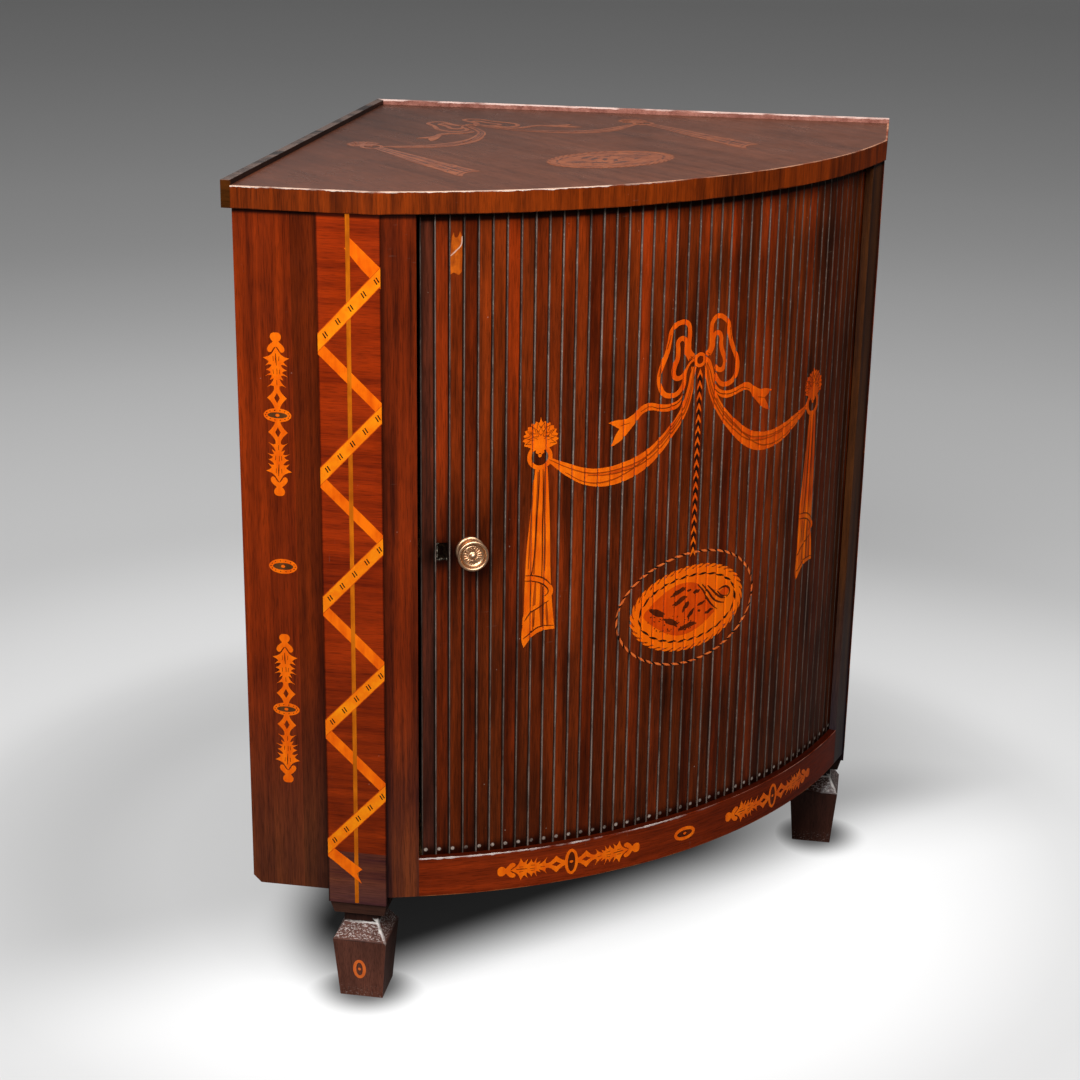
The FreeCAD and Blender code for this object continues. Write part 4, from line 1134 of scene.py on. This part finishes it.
chain = [outline("chain_heads", arrow_heads(CHAIN_COUNT, 0.0, 5.4, 3.2, 7.2), 0.12, "satin", 1),
         outline("chain_gaps", arrow_heads(CHAIN_COUNT - 1, 5.4, 6.2, 2.6, 6.4), 0.11, "dark", 1)]
print("chain:", CHAIN_COUNT, "arrow heads")

# %% [markdown]
# ## Cutting the picture into slats
# The front was veneered in one picture and then sawn through, so that it bends with the shutter. Here too
# the flat picture is bisected along both sides of every gap, and the strips in the gaps are deleted. A few
# more cuts let the veneer round each arris. Then every strip goes to the face of its own slat and rides
# with its own body. A shrinkwrap could lay it in one piece, but it would pull veneer into the gaps.

# %% Tools to cut
def upright_cuts(sheet, places):
    edit(sheet)
    for place in places:
        bpy.ops.mesh.select_all(action="SELECT")
        bpy.ops.mesh.bisect(plane_co=(place, 0, 0), plane_no=(1, 0, 0))
    done()


def drop_faces(sheet, unwanted):
    edit(sheet)
    bpy.ops.mesh.select_mode(type="FACE")
    bpy.ops.mesh.select_all(action="DESELECT")
    done()
    for face in sheet.data.polygons:
        face.select = unwanted(face.center)
    bpy.ops.object.mode_set(mode="EDIT")
    bpy.ops.mesh.delete(type="FACE")
    done()


def copy_of(sheet, name):
    twin = sheet.copy()
    twin.data = sheet.data.copy()
    twin.name = name
    bpy.context.scene.collection.objects.link(twin)
    return twin


print("tools to cut ready")

# %% Tools to lay
VENEER_THICK, STRIP_SHARE = 0.0003, 0.499


def keep_on_slats(sheet):
    """Holds the corners of each face on the slat that the middle of the face is on."""
    goes = {}
    for face in sheet.data.polygons:
        for corner in face.vertices:
            goes[corner] = slat_middle(slat_at(face.center.x)) * SLAT_RADIUS
    limit = SLAT_PITCH * SLAT_RADIUS * STRIP_SHARE
    for vertex in sheet.data.vertices:
        middle = goes.get(vertex.index, vertex.co.x)
        vertex.co.x = min(max(vertex.co.x, middle - limit), middle + limit)


def lay(sheet, name, body, place, mirrored=False):
    """Puts a flat sheet on its face, gives it thickness, and parts it by finish."""
    for vertex in sheet.data.vertices:
        point = place(*vertex.co)
        vertex.co = (-point.x, point.y, point.z) if mirrored else point
    if mirrored:
        sheet.data.flip_normals()
    alone(sheet)
    thick = sheet.modifiers.new("thickness", "SOLIDIFY")
    thick.thickness, thick.offset = VENEER_THICK, -1.0
    bpy.ops.object.modifier_apply(modifier=thick.name)
    edit(sheet)
    bpy.ops.mesh.separate(type="MATERIAL")
    done()
    made = list(bpy.context.selected_objects)
    for piece in made:
        finish = piece.data.materials[piece.data.polygons[0].material_index]
        piece.data.materials.clear()
        piece.data.materials.append(finish)
        for face in piece.data.polygons:
            face.material_index = 0
        key = next(key for key, material in veneers.items() if material == finish)
        piece.name = piece.data.name = f"{name}_{key}"
        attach(piece, body)
    return made


def lay_pair(sheet, name, place):
    """Lays a sheet on the right side of the cabinet, mirrored, and on the left side."""
    made = lay(copy_of(sheet, "twin"), f"right_{name}_marquetry", "cabinet", place, mirrored=True)
    return made + lay(sheet, f"left_{name}_marquetry", "cabinet", place)


print("tools to lay ready; veneer is", VENEER_THICK, "m thick")

# %% Cut the front picture
FIRST_SLAT, LAST_SLAT, VENEER_HALF = 2, 37, 6.54
CUTS = (VENEER_HALF, 5.95, 5.4, SLAT_HALF - SLAT_ARRIS)


def patch_on_third_slat():
    left, right = (slat_middle(3) * SLAT_RADIUS + off for off in (-5.6, 5.2))
    crack = [(left, 788.0), ((left + right) / 2, 793.0), (right - 1.0, 798.0), (right, 806.0)]
    patch = [(left, 770.5, 0), (left - 0.2, 790, 0), (left + 0.6, 800), (left + 1.4, 806),
             (left + 3, 810, 0), (left + 5, 805), (right - 2, 811, 0), (right, 806, 0),
             (right + 0.2, 789, 0), (right - 0.3, 773, 0), (right - 3.0, 770.0), (left + 3.0, 772.0)]
    return [outline("repair_patch", [patch], 0.1, "repair"),
            ribbon("repair_crack", crack, [0.9, 1.2, 0.7], 0.14, "bone")]


picture = knot + swags + falls + patera
top_design = join("top_design", [copy_of(sheet, "top_part") for sheet in picture])
front = join("front_design", picture + rope + chain + patch_on_third_slat())
cuts = []
for number in range(FIRST_SLAT, LAST_SLAT + 1):
    middle = slat_middle(number) * SLAT_RADIUS
    cuts += [middle + hand * reach for hand in (-1, 1) for reach in CUTS]
upright_cuts(front, sorted(cuts))
drop_faces(front, lambda at: abs(at.x - slat_middle(slat_at(at.x)) * SLAT_RADIUS) > VENEER_HALF)
print("front picture:", len(front.data.polygons), "faces after", len(cuts), "cuts")

# %% Lay the front picture
TAILS_FROM = 29


def body_of_slat(number):
    return "shutter" if number < TAILS_FROM else f"tail_{(number - TAILS_FROM) // 2 + 1}"


laid = []
for body in sorted({body_of_slat(slat_at(face.center.x)) for face in front.data.polygons}):
    strip = copy_of(front, f"{body}_strips")
    drop_faces(strip, lambda at: body_of_slat(slat_at(at.x)) != body)
    keep_on_slats(strip)
    laid += lay(strip, f"{body}_marquetry", body, on_slat)
bpy.data.objects.remove(front)
print("front marquetry:", len(laid), "pieces")

# %% [markdown]
# ## The top
# The same picture, without its rope and chain, lies on the top with the bow towards the corner. It needs
# no cuts, because the top is flat. Daylight has faded it, so the satinwoods change to one browner finish,
# and the dark lines to another.

# %% Top marquetry
TOP_OVAL, TOP_FACE = (-18.0, -472.0), 850.0
TOP_LONG, TOP_WIDE, TOP_LEAN = 1.03, 0.97, 0.04


def on_top(u, v, h):
    rise = (v - PATERA[1]) * TOP_LONG
    aside = TOP_OVAL[0] + (u - PATERA[0]) * TOP_WIDE + rise * TOP_LEAN
    return Vector((aside, AXIS_Y + TOP_OVAL[1] + rise, TOP_FACE + h)) * MM


for number, finish in enumerate(top_design.data.materials):
    lined = finish in (veneers["dark"], veneers["pen"], veneers["scorched"])
    top_design.data.materials[number] = veneers["worn_pen" if lined else "faded"]
laid_top = lay(top_design, "top_marquetry", "cabinet", on_top)
print("top marquetry:", len(laid_top), "pieces")

# %% [markdown]
# ## Husk ornaments
# Wings and rail carry a candelabrum of husks: a ball and a bell, three tiers of leaves, a lozenge, and an
# oval in the middle, with the same again upside down. One half is drawn, and turned or mirrored for the
# other.

# %% Outlines of the husks
FINIAL_TOP, FINIAL_CLEFT, HUSK_TOP = (0, 81), (0, 67.2), (0, 67, 0)
FINIAL_SIDE = [(4, 80), (5.4, 76.6), (4, 73.4), (3, 72.4), (5.2, 70), (7.8, 67), (8.4, 64), (6.8, 61.8),
               (4.6, 62.2), (2.8, 65)]
HUSK_SIDE = [(2.2, 63.4), (4.4, 60.2), (7.4, 58), (12.8, 56.2, 0), (8.6, 53.8), (7.2, 52.4, 0),
             (10.8, 48.4, 0), (6.6, 49.8), (4.4, 49.4, 0), (6.6, 46.6), (10.2, 44.4, 0), (6.8, 43.2),
             (5.6, 41.8, 0), (11.2, 38.2, 0), (6.4, 39.4), (4.4, 38.8, 0), (6.6, 34.4, 0), (2.8, 36.4, 0),
             (4.2, 33), (6, 30.6), (9.6, 27.4, 0), (5, 29.2), (2.8, 28.6, 0), (2.7, 26.2), (3.8, 23.4),
             (6.2, 20.4), (9.7, 17, 0), (6.2, 13.4), (3.2, 8.6), (2.6, 5.6, 0)]
LOZENGE = [(0, 22, 0), (2.8, 17, 0), (0, 12, 0), (-2.8, 17, 0)]
HUSK_VEINS = [[(-0.4, 61), (-0.2, 55), (0.2, 49)], [(2.9, 58), (2.6, 53.4)], [(-2.9, 58), (-2.6, 53.4)],
              [(0.6, 46), (0.8, 40.4)], [(3.2, 45), (2.8, 40.6)], [(-3.2, 45), (-2.8, 40.6)],
              [(0.2, 34.6), (0.4, 29.8)]]


print("husks:", len(HUSK_SIDE), "points on each side")

# %% One husk ornament
def flip_x(points):
    return [(-point[0],) + tuple(point[1:]) for point in reversed(points)]


def turned(points, centre, quarter, hand=1):
    """hand -1 is upside down; quarter lays the ornament on its side."""
    made = []
    for point in points:
        x, y = point[0], point[1] * hand
        x, y = (y, -x) if quarter else (x, y)
        made.append((centre[0] + x, centre[1] + y) + tuple(point[2:]))
    return made


def small_oval(centre, wide, high, band, base=0.12, beads=14):
    inner = (wide - band, high - band)
    floor_loop = oval(centre, inner[0] + 0.2, inner[1] + 0.2)
    made = [
        outline("oval_floor", [floor_loop], base - 0.01, "umber" if beads else "pen"),
        outline("oval_ring", [oval(centre, wide, high), oval(centre, *inner)], base, "satin"),
        outline("oval_dot", [oval(centre, 2.0, 1.5, 8)], base + 0.02, "satin"),
    ]
    if beads:
        dots = [oval(point, 0.55, 0.55, 6) for point in oval(centre, wide - band / 2, high - band / 2, beads)]
        made.append(outline("oval_beads", dots, base + 0.03, "dark", 2))
    return made


def husk_ornament(centre, quarter=False):
    made = []
    bell = [FINIAL_TOP] + FINIAL_SIDE + [FINIAL_CLEFT] + flip_x(FINIAL_SIDE)
    leaves = [HUSK_TOP] + HUSK_SIDE + flip_x(HUSK_SIDE)
    for hand in (1, -1):
        finial, husks, lozenge = (turned(loop, centre, quarter, hand) for loop in (bell, leaves, LOZENGE))
        made.append(outline("finial", [finial], 0.11, "satin"))
        made.append(outline("husks", [husks, lozenge], 0.12, "satin"))
        for vein in HUSK_VEINS:
            line = turned(vein, centre, quarter, hand)
            made.append(ribbon("husk_vein", line, [0.5, 1.1, 0.5], 0.15, "pen", 4))
    if quarter:
        return made + small_oval(centre, 7.4, 14.6, 3.2, 0.14, beads=0)
    return made + small_oval(centre, 13.7, 6.8, 3.9, 0.14)


print("husk ornament: one half has", len(HUSK_VEINS), "veins")

# %% Husks on the wings and the rail
wing_sheet = join("wing_design", husk_ornament((38.8, 631.4)) + husk_ornament((39.8, 325.6))
                  + small_oval((40.4, 478.0), 14.2, 7.6, 4.0))
rail_sheet = join("rail_design", husk_ornament((-138.2, 145.0), True) + husk_ornament((143.4, 145.0), True)
                  + small_oval((2.3, 145.0), 14.2, 7.7, 3.8, beads=0))
upright_cuts(rail_sheet, range(-224, 232, 7))
husks = lay_pair(wing_sheet, "wing", on_wing) + lay(rail_sheet, "rail_marquetry", "cabinet", on_rail)
print("husk ornaments:", len(husks), "pieces")

# %% [markdown]
# ## Ribbon round a staff
# A ribbon winds round a thin staff on each pilaster. The side that rises to the right is pale and marked
# with pairs of ticks. The back of the ribbon falls to the right under the staff, and both ends are forked.
# On the real one all this is flat veneer, so straight bands with mitred ends do for a spiral.

# %% Pilaster marquetry
NEAR_EDGE, FAR_EDGE = 80.7, 141.8
STAFF, STAFF_FOOT, STAFF_HEAD = 110.4, 115.5, 828.8
LEFT_FOLD, RIGHT_FOLD, TURN_HEIGHT, TURNS = 705.6, 771.0, 132.0, 5
PALE_HALF, BACK_HALF, FOLD_SHIFT = 8.8, 7.3, 4.0
TICKS, FIRST_TICK, TICK_STEP, TICK_WAY = 5, 0.12, 0.205, Vector((0.72, 0.69))


def band(first, last, half):
    return [(first[0], first[1] + half, 0), (first[0], first[1] - half, 0), (last[0], last[1] - half, 0),
            (last[0], last[1] + half, 0)]


def bar(centre, long, thick, turn=math.radians(-57)):
    way, out = Vector((math.cos(turn), math.sin(turn))), Vector((-math.sin(turn), math.cos(turn)))
    hands = ((1, 1), (-1, 1), (-1, -1), (1, -1))
    return [tuple(Vector(centre) + way * long * x + out * thick * y) + (0,) for x, y in hands]


staff = [(STAFF - 2.1, STAFF_FOOT, 0), (STAFF - 1.6, STAFF_HEAD, 0), (STAFF + 2.6, STAFF_HEAD, 0),
         (STAFF + 2.0, STAFF_FOOT, 0)]
staff_sheets = [outline("staff", [staff], 0.14, "staff", 1)]
pale_bands, back_bands, ticks = [], [], []
for turn_number in range(TURNS):
    low, high = LEFT_FOLD - TURN_HEIGHT * turn_number, RIGHT_FOLD - TURN_HEIGHT * turn_number
    pale_bands.append(band((NEAR_EDGE, low), (FAR_EDGE, high), PALE_HALF))
    if turn_number:
        upper_left = (NEAR_EDGE, low + TURN_HEIGHT - FOLD_SHIFT)
        back_bands.append(band(upper_left, (FAR_EDGE, high + FOLD_SHIFT), BACK_HALF))
    for tick in range(TICKS):
        share = FIRST_TICK + TICK_STEP * tick
        middle = Vector((NEAR_EDGE + (FAR_EDGE - NEAR_EDGE) * share, low + (high - low) * share))
        ticks += [bar(middle + TICK_WAY * off, 2.7, 0.62) for off in (-1.4, 1.4)]
top_end = RIGHT_FOLD + FOLD_SHIFT
back_bands.append([(107.6, 796.4, 0), (111.8, 799.0, 0), (109.4, 809.6, 0),
                   (FAR_EDGE, top_end + BACK_HALF - 3.0, 0), (FAR_EDGE, top_end - BACK_HALF - 8.0, 0),
                   (124.0, 777.0, 0)])
end_low = LEFT_FOLD - TURN_HEIGHT * (TURNS - 1) - FOLD_SHIFT
lower_fork = [(NEAR_EDGE, end_low + BACK_HALF, 0), (NEAR_EDGE, end_low - BACK_HALF, 0), (115.6, 138.4, 0),
              (110.5, 149.6, 0), (116.6, 154.6, 0)]
staff_sheets += [outline("ribbon_back", back_bands, 0.12, "satin", 1),
                 outline("ribbon_end", [lower_fork], 0.15, "satin", 1),
                 outline("ribbon_face", pale_bands, 0.16, "pale", 1),
                 outline("ribbon_ticks", ticks, 0.19, "dark", 2)]
edges = []
for loop in pale_bands:
    edges += [[loop[1][:2], loop[2][:2]], [loop[0][:2], loop[3][:2]]]
staff_sheets += [ribbon("ribbon_edge", line, [0.7], 0.18, "shaded", 1) for line in edges]
pilaster_sheet = join("pilaster_design", staff_sheets)
winding = lay_pair(pilaster_sheet, "pilaster", on_pilaster)
print("ribbon on the pilasters:", len(winding), "pieces")

# %% [markdown]
# ## Ovals on the feet
# Each front foot has an oval ring of rubbed veneer with a dot in it. A foot tapers, so its outer face
# leans, and the place on it leans too. One sheet serves both feet, mirrored for the right one.

# %% Ovals on the feet
FOOT_LOW, FOOT_LEAN = 582.5, 5.6 / SHOULDER


def on_foot(u, v, h):
    return corner_point(FOOT_LOW + FOOT_LEAN * v + h, u, v - h * FOOT_LEAN)


OVAL_HEART = (110.0, 33.5)
foot_sheet = join("foot_design", [
    outline("foot_ring", [oval(OVAL_HEART, 6.9, 11.4), oval(OVAL_HEART, 3.5, 8.0)], 0.12, "rubbed"),
    outline("foot_dot", [oval(OVAL_HEART, 1.6, 1.6, 6)], 0.12, "rubbed")])
ovals = lay_pair(foot_sheet, "foot", on_foot)
print("ovals on the feet:", len(ovals), "pieces")

# %% [markdown]
# ## Brass knob and rose
# The knob was turned on a lathe and its face chased with a flower. A profile that is spun about its axis
# makes the turning: points of the profile are extruded one by one, and `spin` takes them round. One petal
# is modelled from a sphere and copied round the boss. Then the whole is stood on the fourth slat. A screw
# modifier would turn it as well. Spin leaves plain faces that the petals can be joined to.

# %% Turning a profile
def turn_profile(name, profile, steps=72):
    """profile: (height above the slat, radius) in mm; spun about Z."""
    bpy.ops.mesh.primitive_plane_add(size=1.0)
    piece = bpy.context.active_object
    piece.name = piece.data.name = name
    edit(piece)
    bpy.ops.mesh.select_mode(type="VERT")
    bpy.ops.mesh.select_all(action="SELECT")
    bpy.ops.mesh.merge(type="CENTER")
    here = Vector((0, 0, 0))
    for height, radius in profile:
        there = Vector((radius, 0, height)) * MM
        if (height, radius) == profile[0]:
            bpy.ops.transform.translate(value=there - here)
        else:
            bpy.ops.mesh.extrude_region_move(TRANSFORM_OT_translate={"value": there - here})
        here = there
    bpy.ops.mesh.select_all(action="SELECT")
    bpy.ops.mesh.spin(steps=steps, angle=2 * math.pi, center=(0, 0, 0), axis=(0, 0, 1))
    bpy.ops.mesh.select_all(action="SELECT")
    bpy.ops.mesh.remove_doubles(threshold=0.000005)
    bpy.ops.mesh.normals_make_consistent(inside=False)
    done()
    bpy.ops.object.shade_smooth_by_angle(angle=math.radians(50))
    return piece


KNOB_PROFILE = [
    (0, 0), (0, 4.9), (7.0, 4.9), (9.0, 5.6), (11.4, 8.0), (13.2, 11.0), (14.8, 13.6), (16.2, 15.0),
    (17.4, 15.5), (18.6, 15.3), (19.3, 14.7), (19.5, 13.9), (19.3, 13.2), (18.6, 12.6), (16.6, 12.2),
    (16.2, 11.7), (16.5, 11.2), (17.3, 10.9), (17.7, 10.3), (17.5, 9.7), (16.9, 9.2), (16.5, 7.2),
    (16.7, 5.2), (17.2, 3.6), (18.2, 3.0), (19.2, 2.4), (19.8, 1.3), (20.0, 0)]
ROSE_PROFILE = [
    (0.02, 5.3), (0.02, 14.3), (0.8, 14.5), (1.9, 14.4), (2.7, 13.9), (3.1, 13.0), (3.2, 12.0), (3.0, 11.0),
    (2.4, 10.2), (1.5, 9.6), (1.2, 8.4), (1.4, 7.0), (1.9, 6.2), (1.8, 5.6), (1.6, 5.3), (0.02, 5.3)]
knob = turn_profile("turned_knob", KNOB_PROFILE)
rose = turn_profile("turned_rose", ROSE_PROFILE)
print("turned:", len(knob.data.polygons), "and", len(rose.data.polygons), "faces")

# %% Petals and placing
PETALS, PETAL_RADIUS, PETAL_HEIGHT = 18, 6.4, 16.8
bpy.ops.mesh.primitive_uv_sphere_add(segments=12, ring_count=8, radius=1.0)
petal = bpy.context.active_object
edit(petal)
bpy.ops.transform.resize(value=(2.7 * MM, 0.85 * MM, 0.8 * MM))
bpy.ops.transform.translate(value=(PETAL_RADIUS * MM, 0, PETAL_HEIGHT * MM))
done()
flower = []
for number in range(PETALS):
    twin = copy_of(petal, "petal_copy")
    twin.data.transform(Matrix.Rotation(2 * math.pi * number / PETALS, 4, "Z"))
    flower.append(twin)
bpy.data.objects.remove(petal)
knob = join("turned_knob", [knob] + flower)
turn = slat_middle(4)
out = Vector((math.sin(turn), -math.cos(turn), 0))
seat = Vector((0, AXIS_Y, KNOB_HEIGHT)) * MM + out * SLAT_RADIUS * MM
stand = Matrix.Translation(seat) @ out.to_track_quat("Z", "Y").to_matrix().to_4x4()
for piece, node_name in ((knob, "knob"), (rose, "knob_rose")):
    piece.data.transform(stand)
    piece.data.materials.clear()
    piece.data.materials.append(finishes["brass"])
    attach(piece, "shutter")
    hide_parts(node_name)
print("knob stands at", [round(x, 4) for x in seat])

# %% [markdown]
# ## Canvas behind the slats
# Linen is glued to the backs of the slats, and it is what lets the shutter bend. The frame has it as plain
# strips, one for the stiff part and one for each pair of slats in the tail. Each strip is copied, and the
# loose corners of the copy are merged. Its flat width is its arc round the axis of the bow.

# %% Canvas
CANVAS_RADIUS, CANVAS_HEIGHT = 588.5, 651.2
for name in sorted(name for name in nodes if "canvas" in name):
    in_tail = name.startswith("tail")
    linen_sheet = bpy.data.objects.new(name.replace("canvas", "linen"), nodes[name].data.copy())
    bpy.context.scene.collection.objects.link(linen_sheet)
    edit(linen_sheet)
    bpy.ops.mesh.remove_doubles(threshold=0.00001)
    done()
    turns = [math.atan2(vertex.co.x, AXIS_Y * MM - vertex.co.y) for vertex in linen_sheet.data.vertices]
    width = (max(turns) - min(turns)) * CANVAS_RADIUS * MM
    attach(linen_sheet, "tail_" + name[-1] if in_tail else "shutter")
    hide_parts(name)
    print(linen_sheet.name, round(width, 4), "m wide")
